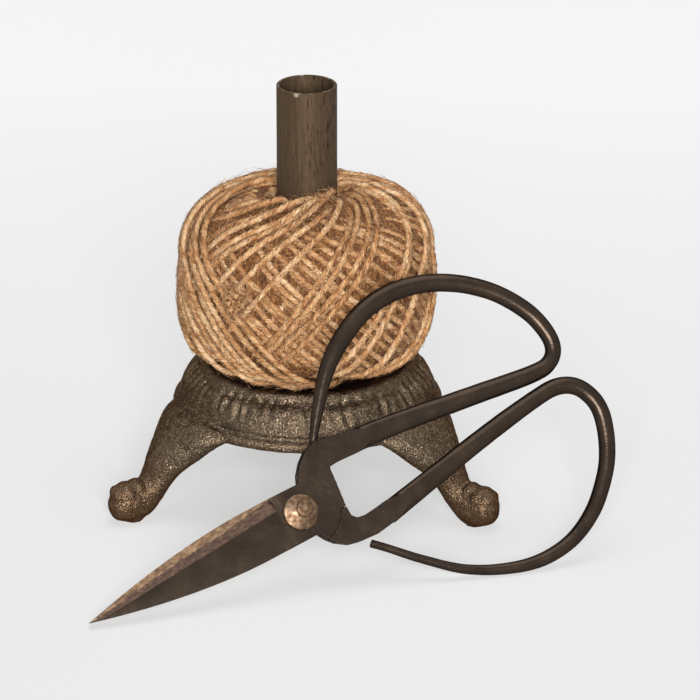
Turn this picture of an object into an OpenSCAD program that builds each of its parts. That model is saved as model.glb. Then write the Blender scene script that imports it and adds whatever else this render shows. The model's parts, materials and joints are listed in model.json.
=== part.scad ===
// String holder: a ball of jute twine turns on an open steel tube above a footed iron dish.
// A pair of forged scissors leans on the ball, and the tube is their holster when put away.
// The origin is on the tube's axis at table level. The viewer stands at -Y.

/* [Spindle] */
// Outer diameter of the tube
tube_d = 22.2; // [20:0.1:25]
// Wall of the tube
tube_wall = 1.2; // [1:0.1:2]
// Height of the tube's open top above the table
tube_top = 158; // [140:1:190]
// Depth of the tube's seat in the dish
tube_seat = 1.5; // [0.8:0.1:2]
// Thread diameter of the fixing bolt
bolt_d = 6; // [4:0.5:8]
// Length of the threaded plug in the tube's foot
plug_length = 12; // [8:1:20]

/* [Dish] */
// Diameter over the dish's lip
dish_d = 100.4; // [94:0.2:110]
// Height of the seat that the ball rests on
seat_z = 46.2; // [42:0.2:52]
// Rise of the fluted rim above the seat
rim_rise = 2.7; // [1.5:0.1:4]
// Thickness of the dish
dish_wall = 3.6; // [3:0.1:5]
// Height of the lip's lower edge
lip_z = 32.6; // [30:0.2:34]
// Number of flutes round the rim
flute_count = 60; // [24:1:72]
// Depth of a flute
flute_depth = 0.9; // [0.3:0.1:1.2]

/* [Legs] */
// Number of legs
leg_count = 3; // [3:1:4]
// Distance from the axis to a toe
toe_radius = 82.5; // [78:0.5:95]
// Width of a leg at the ankle
ankle_width = 13; // [10:0.5:18]
// Width of a leg where it spreads under the lip
apron_width = 46; // [36:1:50]
// Radius of the rolled toe
toe_roll = 3.2; // [2.5:0.1:4]

/* [Twine ball] */
// Diameter of the ball
ball_d = 96.4; // [90:0.2:98]
// Height of the ball
ball_h = 70.6; // [60:0.2:80]
// Squareness of the ball's side, where 2 is an ellipse
ball_square = 3.3; // [2.5:0.1:4]
// Diameter of the twine
twine_d = 2.2; // [1.6:0.1:2.4]
// Loops in the outer winding
wind_loops = 16; // [12:1:16]
// Tilt of a loop, before the ball's flattening
wind_tilt = 58; // [52:1:60]
// Depth from the rising strands to the falling ones where a loop turns
wind_drop = 5.8; // [5.4:0.1:6.4]
// The same depth at the ball's side
wind_side_drop = 3.6; // [3.4:0.1:4]
// Further turn of the winding from where a strand meets the scissors' upper bow
wind_turn = 0; // [0:0.5:22]
// Room between the ball's hole and the tube
ball_room = 1.6; // [1:0.1:2.5]

/* [Scissors] */
// Length from the rivet to the blades' tip
blade_length = 88.4; // [80:0.2:96]
// Height of the cutting edge above the blade's axis
blade_rise = 9.2; // [8:0.1:10]
// Depth of the blade's back below its axis
blade_fall = 10.4; // [9:0.1:11]
// Thickness of one half at the lap
half_thick = 2.7; // [2.2:0.1:3.2]
// Gap between the two halves
lap_gap = 0.3; // [0.2:0.05:0.4]
// Radius of the lap about the rivet
lap_r = 14.2; // [13.5:0.1:15]
// Diameter of the rivet's shank
rivet_d = 5.2; // [4:0.1:5.6]
// Diameter of the domed washers
rivet_washer_d = 13.3; // [11:0.1:14]
// Diameter of the rivet's heads
rivet_head_d = 6.2; // [6:0.1:8]
// Lean of the scissors back from upright
scissors_lean = 30; // [20:0.5:40]
// Turn of the scissors about the ball
scissors_yaw = 18.9; // [0:0.1:40]
// Distance of the blades' tip to the left of the ball's middle
tip_offset = 110.9; // [100:0.5:120]

/* [Hidden] */
$fn = 64;

// Colours as the photograph shows them
iron_colour = [0.27, 0.24, 0.21];
steel_colour = [0.30, 0.28, 0.26];
blade_colour = [0.23, 0.22, 0.21];
twine_colour = [0.72, 0.56, 0.36];
brass_colour = [0.60, 0.47, 0.35];

// Clearances
slip_gap = 0.05;
rest_gap = 0.3;
cut_room = 1;

// Spindle
tube_r = tube_d / 2;
tube_bore_r = tube_r - tube_wall;
tube_foot_z = seat_z - tube_seat;
plug_step = 0.3;
plug_r = tube_bore_r + plug_step - slip_gap;
bolt_r = bolt_d / 2;
bolt_washer_r = 1.6 * bolt_d;
bolt_washer_t = bolt_d / 4;
bolt_head_r = 0.9 * bolt_d;
bolt_head_h = 0.65 * bolt_d;
bolt_washer_z = seat_z - dish_wall - bolt_washer_t;

// Dish, from the seat outward and down to the lip
dish_r = dish_d / 2;
rim_r = dish_r - 9.7;
groove_r = dish_r - 2;
lip_h = 3.4;
lip_in = 0.7;
rim_steps = 3;
flute_r = 2.6;
flute_tilt = 45;
flute_length = 14;
flute_mid_r = rim_r + 3.1;
flute_mid_z = seat_z + 0.2 * rim_rise;
flute_lift = flute_r - flute_depth;
rim_points = [
    [rim_r - 6.2, seat_z], [rim_r - 1.8, seat_z + 0.75 * rim_rise], [rim_r, seat_z + rim_rise],
    [rim_r + 2, seat_z + 0.63 * rim_rise], [rim_r + 3.8, seat_z], [groove_r - 2, seat_z - 3],
    [groove_r - 0.8, seat_z - 6], [groove_r, lip_z + 4.6]
];
lip_points = [
    [dish_r - 0.4, lip_z + lip_h], [dish_r, lip_z + 0.45 * lip_h], [dish_r - lip_in, lip_z]
];
under_points = [
    [dish_r - dish_wall, lip_z], [groove_r - dish_wall, lip_z + 5],
    [groove_r - 2 - dish_wall, seat_z - dish_wall - 2.5], [rim_r - 5, seat_z - dish_wall]
];

// Legs: distance from the axis and height of the leg's middle, half thickness, half width
foot_r = toe_radius - 11;
foot_z = 7.4;
pad_r = 4.6;
pad_h = 2;
toe_roll_w = 0.4 * ankle_width;
toe_back = 1;
toe_up = 3.8;
leg_stations = [
    [dish_r - 5, lip_z + 3, 4, apron_width / 2],
    [dish_r + 0.4, lip_z, 5.4, 0.46 * apron_width],
    [foot_r - 17, lip_z - 5.4, 6.4, 0.35 * apron_width],
    [foot_r - 12, 0.64 * lip_z, 6, 0.23 * apron_width],
    [foot_r - 8.4, 0.46 * lip_z, 5.4, 0.57 * ankle_width],
    [foot_r - 5, 0.31 * lip_z, 5.6, 0.5 * ankle_width],
    [foot_r - 0.6, foot_z, 7.2, 0.5 * ankle_width],
    [foot_r + 4.4, foot_z, 6.8, 0.49 * ankle_width],
    [toe_radius - 2.6, foot_z + 1.2, 4.6, 0.4 * ankle_width],
    [toe_radius - 0.6, foot_z + 1.8, 1.2, 0.15 * ankle_width]
];
leg_sides = 16;
leg_steps = 3;

// Twine ball
ball_r = ball_d / 2;
ball_mid = seat_z + rest_gap + ball_h / 2;
twine_r = twine_d / 2;
ball_hole_r = tube_r + ball_room;
chord_sag = 0.5;
core_inset = twine_d + wind_side_drop + chord_sag + rest_gap;
core_flat = 1 - (wind_drop - wind_side_drop) / (ball_h / 2);
core_square = ball_square - 0.7;
core_points = 14;
collar_room = 0.5;
collar_round = 2.5;
twine_sides = 6;
// Angle of each ring of a quarter loop from the loop's turn, and how far the drop has gone there
turn_angles = [5, 13, 24, 40, 58, 79];
turn_drops = [0.2, 0, 0, 0, 0, 0];
side_shares = [0, 0, 0.3, 0.8, 1, 1];
gap_samples = 5;
near_strand = 3 * twine_d;

// Scissors, in their own plane: x to the handles, y up, z to the front, rivet at the origin
shank_t = 2 * half_thick + lap_gap;
rivet_r = rivet_d / 2;
blade_root = 20;
blade_curve = 1.75;
blade_points = 16;
rear_inset = 0.5;
bevel_start = [-9, 3.9];
bevel_end = [-84, -0.9];
bevel_depth = 1.9;
bevel_width = 4.6;
bevel_room = 10;
lap_room = 0.3;
turn_gap = 0.1;
washer_dome = 1.5;
washer_t = 1.1;
washer_shift = [-1.3, -0.5];
rivet_head_r = rivet_head_d / 2;
rivet_head_h = 1.1;
rivet_head_taper = 0.75;
handle_sides = 12;
handle_steps = 4;
// Outline of the heel between the lap and the shank, upper half then lower half
front_heel = [
    [3.3, 9], [4.8, 12.1], [7.7, 15.5], [11.2, 18.2], [15.1, 19.6], [30, 17.4], [42, 12], [30, 8.8],
    [20, 9.3], [16.3, 9], [14.6, 1]
];
rear_heel = [
    [1.3, -10.2], [3.2, -13.4], [5.6, -16], [9.9, -18.9], [14.1, -19.8], [20.6, -20.3],
    [31, -18.9], [44, -12.8], [31, -11], [20.5, -12.2], [16.6, -11.6], [15.1, -10], [15, -6.5], [13.4, -3]
];
// The rest of each half's lap, from its heel round the rivet to the blade
front_lap = [[13, -4], [8, -11], [rear_heel[0][0], -blade_fall], [-4, -8], [-4, 8]];
rear_lap = [[13, 4], [6, 8], [-4, 8], [-4, -8]];
lap_in = lap_r - 1;
lap_flat = 2;
lap_spread = 6;
// Middle line of each handle: x, y and half width, shank then bow
front_handle = [
    [26, 13.4, 4.4], [47, 11.6, 3.9], [76, 7.7, 3.6], [101, 4.4, 3.3], [109.2, 5.2, 3],
    [113.2, 9.6, 3], [113.4, 17, 3.1], [110.4, 26.2, 3.2], [103, 37, 3.2], [92.6, 45.8, 3.3],
    [81, 51.6, 3.4], [68.6, 54.2, 3.5], [56, 53, 3.5], [43.4, 47.6, 3.4], [33, 40.2, 2.9],
    [24.6, 31, 2.3], [18.4, 23.2, 1.7], [16.5, 20.6, 1.5]
];
rear_handle = [
    [28, -15.6, 4.1], [52, -11.3, 3.7], [76, -7.1, 3.5], [99, -4, 3.2], [108.4, -4.2, 3.2],
    [114.6, -8, 3.2], [117.7, -15.2, 3.2], [117.1, -23, 3.2], [113, -33, 3.1], [107, -41.2, 3],
    [97, -50, 2.9], [84.6, -55.6, 2.7], [71, -56.6, 2.5], [57.6, -53.2, 2.1], [44, -46.4, 1.8],
    [32, -36.4, 1.6], [22, -26.6, 1.5], [17.2, -22.2, 1.5]
];
// The lowest stretch of the lower bow stands on the table with the tip, which sets the blades' slope
bow_low = [57.6, 54];
blade_slope = atan2(bow_low[1], blade_length + bow_low[0]);
tip_clear = 0.07;
tip_lift = shank_t / 2 * sin(scissors_lean) + tip_clear;
bow_room = 0.48;

// Helper functions

function smooth_at(p0, p1, p2, p3, t) =
    0.5 * (2 * p1 + (p2 - p0) * t + (2 * p0 - 5 * p1 + 4 * p2 - p3) * pow(t, 2)
    + (3 * p1 - p0 - 3 * p2 + p3) * pow(t, 3));

// A smooth curve through the points of a list, with so many steps from each to the next
function smooth(points, steps) =
    let (last = len(points) - 1)
    concat(
        [for (i = [0:last - 1], j = [0:steps - 1])
            let (before = points[max(i - 1, 0)], after = points[min(i + 2, last)])
            smooth_at(before, points[i], points[i + 1], after, j / steps)],
        [points[last]]);

function unit(v) = v / norm(v);

function flat(lists) = [for (row = lists, item = row) item];

// Direction of a curve at one of its points
function heading(points, i) = unit(points[min(i + 1, len(points) - 1)] - points[max(i - 1, 0)]);

function place(point) = [point[0], point[1]];

// A closed tube through rings of equal point counts, all faces triangles
module tube_of_rings(rings) {
    sides = len(rings[0]);
    count = len(rings);
    walls = [for (i = [0:count - 2], j = [0:sides - 1])
        let (a = i * sides + j, b = i * sides + (j + 1) % sides)
        each [[a, b, b + sides], [a, b + sides, a + sides]]];
    start_cap = [for (j = [1:sides - 2]) [0, j + 1, j]];
    end_cap = [for (j = [1:sides - 2]) let (a = (count - 1) * sides) [a, a + j, a + j + 1]];
    polyhedron(flat(rings), concat(walls, start_cap, end_cap));
}

// Helper modules

module on_legs() {
    for (i = [0:leg_count - 1]) rotate(90 + i * 360 / leg_count) children();
}

// Puts the scissors' own plane in its leaning place, from the tip that stands on the table
module in_scissors_place() {
    rotate(scissors_yaw) translate(scissors_tip) rotate([90 - scissors_lean, 0, 0])
        rotate(blade_slope) translate([blade_length, 0, 0]) children();
}

// Base casting

module dish() {
    outside = concat(smooth(rim_points, rim_steps), lip_points);
    rotate_extrude() polygon(concat([[0, seat_z]], outside, under_points, [[0, seat_z - dish_wall]]));
}

module flutes() {
    for (i = [0:flute_count - 1])
        rotate((i + 0.5) * 360 / flute_count)
            translate([flute_mid_r, 0, flute_mid_z]) rotate([0, 90 + flute_tilt, 0])
                translate([-flute_lift, 0, 0]) cylinder(r = flute_r, h = flute_length, center = true);
}

function leg_ring(curve, i) =
    let (middle = place(curve[i]), ahead = unit(place(heading(curve, i))), across = [-ahead[1], ahead[0]])
    [for (k = [0:leg_sides - 1])
        let (turn = -k * 360 / leg_sides,
             spot = middle + across * curve[i][2] * sin(turn),
             swing = curve[i][3] * cos(turn) / middle[0] * 180 / PI)
        [spot[0] * cos(swing), spot[0] * sin(swing), max(spot[1], 0)]];

module leg() {
    curve = smooth(leg_stations, leg_steps);
    tube_of_rings([for (i = [0:len(curve) - 1]) leg_ring(curve, i)]);
    translate([foot_r, 0, 0]) cylinder(r = pad_r, h = pad_h);
    translate([toe_radius - toe_roll - toe_back, 0, foot_z + toe_up])
        rotate([90, 0, 0]) cylinder(r = toe_roll, h = toe_roll_w, center = true);
}

module base_casting() {
    color(iron_colour) difference() {
        union() {
            dish();
            on_legs() leg();
        }
        flutes();
        translate([0, 0, tube_foot_z]) cylinder(r = tube_r + slip_gap, h = tube_seat + cut_room);
        translate([0, 0, bolt_washer_z]) cylinder(r = bolt_r + slip_gap, h = dish_wall + 2 * cut_room);
    }
}

// Spindle

module spindle_tube() {
    color(steel_colour) difference() {
        translate([0, 0, tube_foot_z]) cylinder(r = tube_r, h = tube_top - tube_foot_z);
        translate([0, 0, tube_foot_z - cut_room]) {
            cylinder(r = tube_bore_r, h = tube_top - tube_foot_z + 2 * cut_room);
            cylinder(r = plug_r + slip_gap, h = plug_length + cut_room);
        }
    }
}

module tube_plug() {
    color(steel_colour) translate([0, 0, tube_foot_z]) difference() {
        cylinder(r = plug_r, h = plug_length);
        translate([0, 0, -cut_room]) cylinder(r = bolt_r + slip_gap, h = plug_length + 2 * cut_room);
    }
}

module fixing_bolt() {
    color(steel_colour) translate([0, 0, bolt_washer_z]) {
        translate([0, 0, -bolt_head_h]) cylinder(r = bolt_head_r, h = bolt_head_h, $fn = 6);
        cylinder(r = bolt_r, h = tube_foot_z + plug_length - bolt_washer_z);
    }
}

module fixing_washer() {
    color(steel_colour) translate([0, 0, bolt_washer_z]) difference() {
        cylinder(r = bolt_washer_r, h = bolt_washer_t);
        translate([0, 0, -cut_room]) cylinder(r = bolt_r + slip_gap, h = bolt_washer_t + 2 * cut_room);
    }
}

// Twine ball

// The ball's rounded barrel: distance from the axis and height from its middle, at an angle from the top
function barrel_point(angle, inset, square = ball_square) =
    let (fit = pow(pow(sin(angle), square) + pow(abs(cos(angle)), square), -1 / square))
    [(ball_r - inset) * fit * sin(angle), (ball_h / 2 - inset) * fit * cos(angle)];

// A point of the barrel, so far in from its outer surface
function ball_point(lat, lon, inset) =
    let (p = barrel_point(90 - lat, inset)) [p[0] * cos(lon), p[0] * sin(lon), ball_mid + p[1]];

// Quarters of a loop: up to the side, on to the top turn, down to the side, on to the bottom turn
function ring_angle(quarter, i) =
    quarter == 0 ? turn_angles[i] - 90 : quarter == 1 ? 90 - turn_angles[i]
    : quarter == 2 ? 90 + turn_angles[i] : 270 - turn_angles[i];

function ring_drop(quarter, i) =
    quarter < 2 ? turn_drops[i] * wind_drop
    : (1 - turn_drops[i]) * (wind_drop + (wind_side_drop - wind_drop) * side_shares[i]);

// Longitude on a tilted loop, with the steady backward creep from one loop to the next
function wind_lon(angle, loop) =
    let (bare = atan2(cos(wind_tilt) * sin(angle), cos(angle)))
    (angle > 90 && bare < 0 ? bare + 360 : bare) - 360 / wind_loops * (loop + (angle + 90) / 360);

function wind_point(angle, loop, drop) =
    ball_point(asin(sin(wind_tilt) * sin(angle)), wind_lon(angle, loop), twine_r + drop);

turn_count = len(turn_angles);
wind_route = [for (loop = [0:wind_loops - 1], quarter = [0:3], step = [0:turn_count - 1])
    let (i = quarter % 2 == 0 ? step : turn_count - 1 - step)
    wind_point(ring_angle(quarter, i), loop, ring_drop(quarter, i))];
// The last ring stays clear of the first, so that the twine has two cut ends
wind_path = [for (i = [0:len(wind_route) - 2]) wind_route[i]];

function twine_ring(i) =
    let (spot = wind_path[i], ahead = heading(wind_path, i),
         side = unit(cross(ahead, spot - [0, 0, ball_mid])), out = cross(side, ahead))
    [for (k = [0:twine_sides - 1])
        let (turn = k * 360 / twine_sides)
        spot + twine_r * (cos(turn) * side + sin(turn) * out)];

// Least gap from the first loop to every strand that isn't its own neighbour
loop_rings = 4 * turn_count;
wind_samples = [for (i = [0:len(wind_path) - 2], j = [0:gap_samples - 1])
    wind_path[i] + (wind_path[i + 1] - wind_path[i]) * j / gap_samples];
function least_gap() =
    let (own = 2 * gap_samples, from = loop_rings * gap_samples)
    min([for (a = [from:2 * from - 1], b = [0:len(wind_samples) - 1])
        if (abs(a - b) > own)
            let (d = norm(wind_samples[a] - wind_samples[b]))
            if (d < near_strand) d]) - twine_d;

// The upper bow rests on the ball's side. Each of its points, as distance from the ball's middle along
// the scissors, distance up their plane and radius, keeps clear of every strand as the ball turns
bow_line = [for (p = smooth(front_handle, handle_steps))
    let (x = p[0] + blade_length)
    [x * cos(blade_slope) - p[1] * sin(blade_slope) - tip_offset,
     x * sin(blade_slope) + p[1] * cos(blade_slope), min(p[2], shank_t / 2)]];

function strand_reach(strand, bow) =
    let (room = bow[2] + twine_r + bow_room, rise = bow[1] * cos(scissors_lean) + tip_lift - strand[2])
    abs(rise) < room ? norm(place(strand)) + sqrt(pow(room, 2) - pow(rise, 2)) : 0;

bow_reach = [for (bow = bow_line) max([for (strand = wind_samples) strand_reach(strand, bow)])];
bow_rests = [for (i = [0:len(bow_line) - 1])
    bow_line[i][1] * sin(scissors_lean) + sqrt(max(0, pow(bow_reach[i], 2) - pow(bow_line[i][0], 2)))];
tip_out = max(bow_rests);
scissors_tip = [-tip_offset, -tip_out, tip_lift];

// The winding turns until the strand that sets this rest is at the bow
rest_at = [for (i = [0:len(bow_rests) - 1]) if (bow_rests[i] == tip_out) i][0];
rest_bow = bow_line[rest_at];
rest_strand = [for (strand = wind_samples)
    if (strand_reach(strand, rest_bow) == bow_reach[rest_at]) strand][0];
rest_turn = scissors_yaw + atan2(rest_bow[1] * sin(scissors_lean) - tip_out, rest_bow[0])
    - atan2(rest_strand[1], rest_strand[0]);

module twine_core() {
    collar_r = min([for (p = wind_path) norm(place(p))]) - twine_r - collar_room;
    top = ball_h / 2;
    collar_top = [[ball_hole_r, top], [collar_r - collar_round, top], [collar_r, top - collar_round]];
    // The barrel starts inside the collar's radius, so that the collar ends in a step
    start = asin(collar_r / ball_r);
    barrel = [for (i = [0:core_points])
        let (p = barrel_point(start + (180 - 2 * start) * i / core_points, core_inset, core_square))
        [max(p[0], collar_r), p[1] * core_flat]];
    outline = concat(
        collar_top, barrel,
        [for (i = [len(collar_top) - 1:-1:0]) [collar_top[i][0], -collar_top[i][1]]]);
    color(twine_colour) translate([0, 0, ball_mid]) rotate_extrude() polygon(outline);
}

module twine_winding() {
    echo(least_gap_in_winding = least_gap());
    color(twine_colour) rotate(rest_turn + wind_turn)
        tube_of_rings([for (i = [0:len(wind_path) - 1]) twine_ring(i)]);
}

// Scissors

function edge_curve(height, inset) =
    [for (i = [0:blade_points])
        let (along = i / blade_points, x = -blade_length + along * (blade_length - blade_root))
        [x + inset * (1 - along), (height - sign(height) * inset) * (1 - pow(1 - along, blade_curve))]];

module blade_outline(inset) {
    top = edge_curve(blade_rise, inset);
    bottom = edge_curve(-blade_fall, inset);
    polygon(concat(
        top, [[front_heel[0][0], blade_rise - inset], [lap_in, lap_flat], [lap_in, -lap_flat]],
        [[rear_heel[0][0], inset - blade_fall]],
        [for (i = [blade_points:-1:1]) bottom[i]]));
}

// Ground bevel along the cutting edge, as the body that the grinding takes off
module bevel_cut() {
    run = bevel_end - bevel_start;
    translate([bevel_start[0], bevel_start[1], half_thick]) rotate(atan2(-run[1], -run[0]))
        rotate([-atan2(bevel_depth, bevel_width), 0, 0]) translate([-norm(run) - bevel_room, 0, 0])
            cube([norm(run) + bevel_room, 2 * bevel_room, bevel_room]);
}

function handle_ring(curve, i) =
    let (middle = place(curve[i]), ahead = unit(place(heading(curve, i))), side = [-ahead[1], ahead[0]],
         wide = curve[i][2], deep = min(wide, shank_t / 2))
    [for (k = [0:handle_sides - 1])
        let (turn = -k * 360 / handle_sides, spot = middle + side * wide * cos(turn))
        [spot[0], spot[1], deep * sin(turn)]];

module handle(points) {
    curve = smooth(points, handle_steps);
    tube_of_rings([for (i = [0:len(curve) - 1]) handle_ring(curve, i)]);
}

module heel(outline) {
    linear_extrude(shank_t, center = true) difference() {
        polygon(outline);
        circle(r = lap_r + lap_room);
    }
}

module pivot_bore() {
    cylinder(r = rivet_r + slip_gap, h = 2 * shank_t, center = true);
}

module front_plate() {
    difference() {
        linear_extrude(half_thick) union() {
            blade_outline(0);
            intersection() {
                circle(r = lap_r + lap_spread);
                polygon(concat(front_heel, front_lap));
            }
        }
        bevel_cut();
    }
}

module scissors_front() {
    color(blade_colour) in_scissors_place() difference() {
        union() {
            translate([0, 0, lap_gap / 2]) front_plate();
            heel(front_heel);
            handle(front_handle);
        }
        pivot_bore();
    }
}

module rear_plate() {
    difference() {
        linear_extrude(half_thick) union() {
            blade_outline(rear_inset);
            polygon(concat(rear_heel, rear_lap));
        }
        mirror([0, 1, 0]) bevel_cut();
    }
}

module scissors_rear() {
    color(blade_colour) in_scissors_place() difference() {
        union() {
            translate([0, 0, -lap_gap / 2]) mirror([0, 0, 1]) rear_plate();
            heel(rear_heel);
            handle(rear_handle);
        }
        pivot_bore();
    }
}

module dome_washer() {
    cap_r = (pow(rivet_washer_d / 2, 2) + pow(washer_dome, 2)) / (2 * washer_dome);
    difference() {
        translate([washer_shift[0], washer_shift[1], 0]) intersection() {
            translate([0, 0, washer_dome + washer_t - cap_r]) sphere(r = cap_r);
            cylinder(r = rivet_washer_d / 2, h = washer_dome + washer_t);
        }
        translate([0, 0, -cut_room])
            cylinder(r = rivet_r + slip_gap, h = washer_dome + washer_t + 2 * cut_room);
    }
}

module front_rivet_washer() {
    color(brass_colour) in_scissors_place() translate([0, 0, shank_t / 2]) dome_washer();
}

module rear_rivet_washer() {
    color(brass_colour) in_scissors_place()
        translate([0, 0, -shank_t / 2 - turn_gap]) mirror([0, 0, 1]) dome_washer();
}

module pivot_rivet() {
    head_z = shank_t / 2 + washer_dome + washer_t;
    color(brass_colour) in_scissors_place() {
        translate([0, 0, -head_z - turn_gap]) cylinder(r = rivet_r, h = 2 * head_z + turn_gap);
        for (side = [0, 1]) mirror([0, 0, side]) translate([0, 0, head_z + side * turn_gap])
            cylinder(r1 = rivet_head_r, r2 = rivet_head_taper * rivet_head_r, h = rivet_head_h);
    }
}

base_casting();
spindle_tube();
tube_plug();
fixing_bolt();
fixing_washer();
twine_core();
twine_winding();
scissors_front();
scissors_rear();
pivot_rivet();
front_rivet_washer();
rear_rivet_washer();
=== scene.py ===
# %% [markdown]
# # A string holder
# A ball of jute twine turns on an upright steel tube above a footed iron dish, and a pair of
# forged scissors leans on the ball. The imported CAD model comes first, as a fixed frame. Each
# piece below is then built around it in real sizes, and rides on the CAD body that carries it.

# %% Load the frame
import json
import math

import bmesh
import bpy
import numpy as np
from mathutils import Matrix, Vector, noise


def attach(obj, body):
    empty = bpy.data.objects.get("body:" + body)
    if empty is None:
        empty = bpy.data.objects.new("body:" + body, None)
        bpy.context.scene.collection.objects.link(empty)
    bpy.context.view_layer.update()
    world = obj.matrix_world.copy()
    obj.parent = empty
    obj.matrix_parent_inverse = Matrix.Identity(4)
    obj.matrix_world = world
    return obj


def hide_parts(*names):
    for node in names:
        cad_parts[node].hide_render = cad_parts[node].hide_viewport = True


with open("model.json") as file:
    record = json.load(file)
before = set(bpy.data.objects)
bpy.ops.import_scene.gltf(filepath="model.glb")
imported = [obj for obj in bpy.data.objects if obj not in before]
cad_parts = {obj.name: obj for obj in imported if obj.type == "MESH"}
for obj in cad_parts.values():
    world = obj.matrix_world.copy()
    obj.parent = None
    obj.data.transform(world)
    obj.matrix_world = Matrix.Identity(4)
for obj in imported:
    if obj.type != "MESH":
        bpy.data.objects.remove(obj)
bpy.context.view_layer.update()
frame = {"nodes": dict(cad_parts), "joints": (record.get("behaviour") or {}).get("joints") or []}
scene = bpy.context.scene
MM = 0.001

# %% [markdown]
# ## Camera
# A long lens about two metres away keeps upright lines almost parallel, as in a catalogue
# picture. The camera looks down by a little over twenty degrees, so the mouth of the tube and
# the top of the ball both show. A short lens close by would splay the legs.

# %% Camera
AIM = Vector((15.79, 0, 53.75)) * MM
CAMERA_TURN, CAMERA_RISE, CAMERA_FAR = math.radians(1.91), math.radians(22.03), 2.0
back = Vector((
    math.sin(CAMERA_TURN) * math.cos(CAMERA_RISE),
    -math.cos(CAMERA_TURN) * math.cos(CAMERA_RISE),
    math.sin(CAMERA_RISE)))
camera = bpy.data.objects.new("camera", bpy.data.cameras.new("camera"))
camera.data.sensor_width = 36
camera.data.lens = 276.8
camera.data.clip_end = 20
camera.location = AIM + back * CAMERA_FAR
camera.rotation_euler = (-back).to_track_quat("-Z", "Y").to_euler()
scene.collection.objects.link(camera)
scene.camera = camera
print("camera at", [round(v, 3) for v in camera.location])

# %% [markdown]
# ## Nodes for the finishes
# Colours are picked as sRGB hex values, as a paint chart gives them, but a shader works in
# linear light, so one function converts them. A second function adds a node with its settings
# and links, which keeps every finish below down to a list of what it is made of. A texture's
# scale is one over the size of its pattern, so `per_mm` turns a real size into a scale. Dirt and
# wear are layers: `laid_over` mixes one more colour over a finish wherever some value, such as
# the height of the grain, goes from one number to another.

# %% Node helpers
def linear(hex_colour):
    parts = [int(hex_colour[i:i + 2], 16) / 255 for i in (1, 3, 5)]
    return [c / 12.92 if c <= 0.04045 else ((c + 0.055) / 1.055) ** 2.4 for c in parts] + [1]


def add_node(tree, kind, settings=None, inputs=None, stops=None):
    node = tree.nodes.new("ShaderNode" + kind)
    for name, value in (settings or {}).items():
        setattr(node, name, value)
    for name, value in (inputs or {}).items():
        if isinstance(value, bpy.types.NodeSocket):
            tree.links.new(value, node.inputs[name])
        else:
            node.inputs[name].default_value = value
    if stops:
        ramp = node.color_ramp.elements
        ramp.remove(ramp[1])
        ramp[0].position, ramp[0].color = stops[0][0], linear(stops[0][1])
        for place, colour in stops[1:]:
            ramp.new(place).color = linear(colour)
    return node


def per_mm(size):
    return 1 / (size * MM)


def new_finish(name):
    finish = bpy.data.materials.new(name)
    finish.use_nodes = True
    finish.node_tree.nodes.clear()
    return finish, finish.node_tree


def laid_over(tree, colour, layers):
    for value, none_at, full_at, most, over in layers:
        share = add_node(tree, "MapRange", inputs={
            "Value": value, "From Min": none_at, "From Max": full_at,
            "To Max": most}).outputs["Result"]
        colour = add_node(tree, "Mix", {"data_type": "RGBA"}, {
            0: share, 6: colour, 7: linear(over)}).outputs[2]
    return colour


print("5 mm pattern has scale", per_mm(5))

# %% [markdown]
# ## Cast iron, sand cast and browned
# The dish and legs are one sand casting, oiled brown. The sand leaves a grain of about half a
# millimetre. Its tops are painted light as painted highlights, the sparks that the grain throws
# under a lamp, and its hollows are drawn darker. Hands wear the high spots to a dull bronze.
# The grain is drawn a little coarser than life so that it shows.
# The feet are browner than the dish, from standing on damp surfaces.

# %% Cast iron
cast_iron, tree = new_finish("cast_iron_browned")
place = add_node(tree, "TexCoord").outputs["Object"]
sand, lumps, patches = (
    add_node(tree, "TexNoise", inputs={
        "Vector": place, "Scale": per_mm(size), "Detail": detail,
        "Roughness": fine}).outputs["Fac"]
    for size, detail, fine in ((0.6, 2.0, 0.5), (2.6, 3.0, 0.55), (16, 4.0, 0.6)))
colour = add_node(tree, "ValToRGB", inputs={"Fac": patches}, stops=[
    (0.30, "#4A3D31"), (0.50, "#56493B"), (0.64, "#5F5041"),
    (0.78, "#695644")]).outputs["Color"]
grit = add_node(tree, "Math", {"operation": "MULTIPLY_ADD"}, {
    0: lumps, 1: 0.15, 2: sand}).outputs[0]
bend = add_node(tree, "NewGeometry").outputs["Pointiness"]
height = add_node(tree, "SeparateXYZ", inputs={0: place}).outputs["Z"]
colour = laid_over(tree, colour, [
    (grit, 0.54, 0.40, 0.42, "#30261E"),  # darker in the hollows of the grain
    (grit, 0.59, 0.78, 0.6, "#B09C83"),  # painted highlights: sparks on the tops
    (bend, 0.51, 0.58, 0.4, "#8E7355"),  # bronze on the high spots
    (height, 26 * MM, 6 * MM, 0.5, "#5C402A")])  # brown feet
heights = add_node(tree, "Math", {"operation": "ADD"}, {0: sand, 1: lumps}).outputs[0]
bump = add_node(tree, "Bump", inputs={
    "Height": heights, "Strength": 1.0, "Distance": 0.42 * MM}).outputs["Normal"]
rough = add_node(tree, "MapRange", inputs={
    "Value": lumps, "From Min": 0.3, "From Max": 0.7,
    "To Min": 0.24, "To Max": 0.36}).outputs["Result"]
shader = add_node(tree, "BsdfPrincipled", inputs={
    "Base Color": colour, "Metallic": 0.95, "Roughness": rough, "Normal": bump,
    "Specular Tint": linear("#8C7A68")})
add_node(tree, "OutputMaterial", inputs={"Surface": shader.outputs["BSDF"]})
print("made", cast_iron.name)

# %% [markdown]
# ## Drawn steel tube, browned
# Drawing a tube through its die leaves fine lines along it, and the browning is rubbed through
# in long darker streaks. So the noise is stretched along the tube's height, thirty times for the
# lines and eight times for the streaks. The cut rim is bare and brighter, which a mask by height
# gives, and it has one knock at the front.

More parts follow.
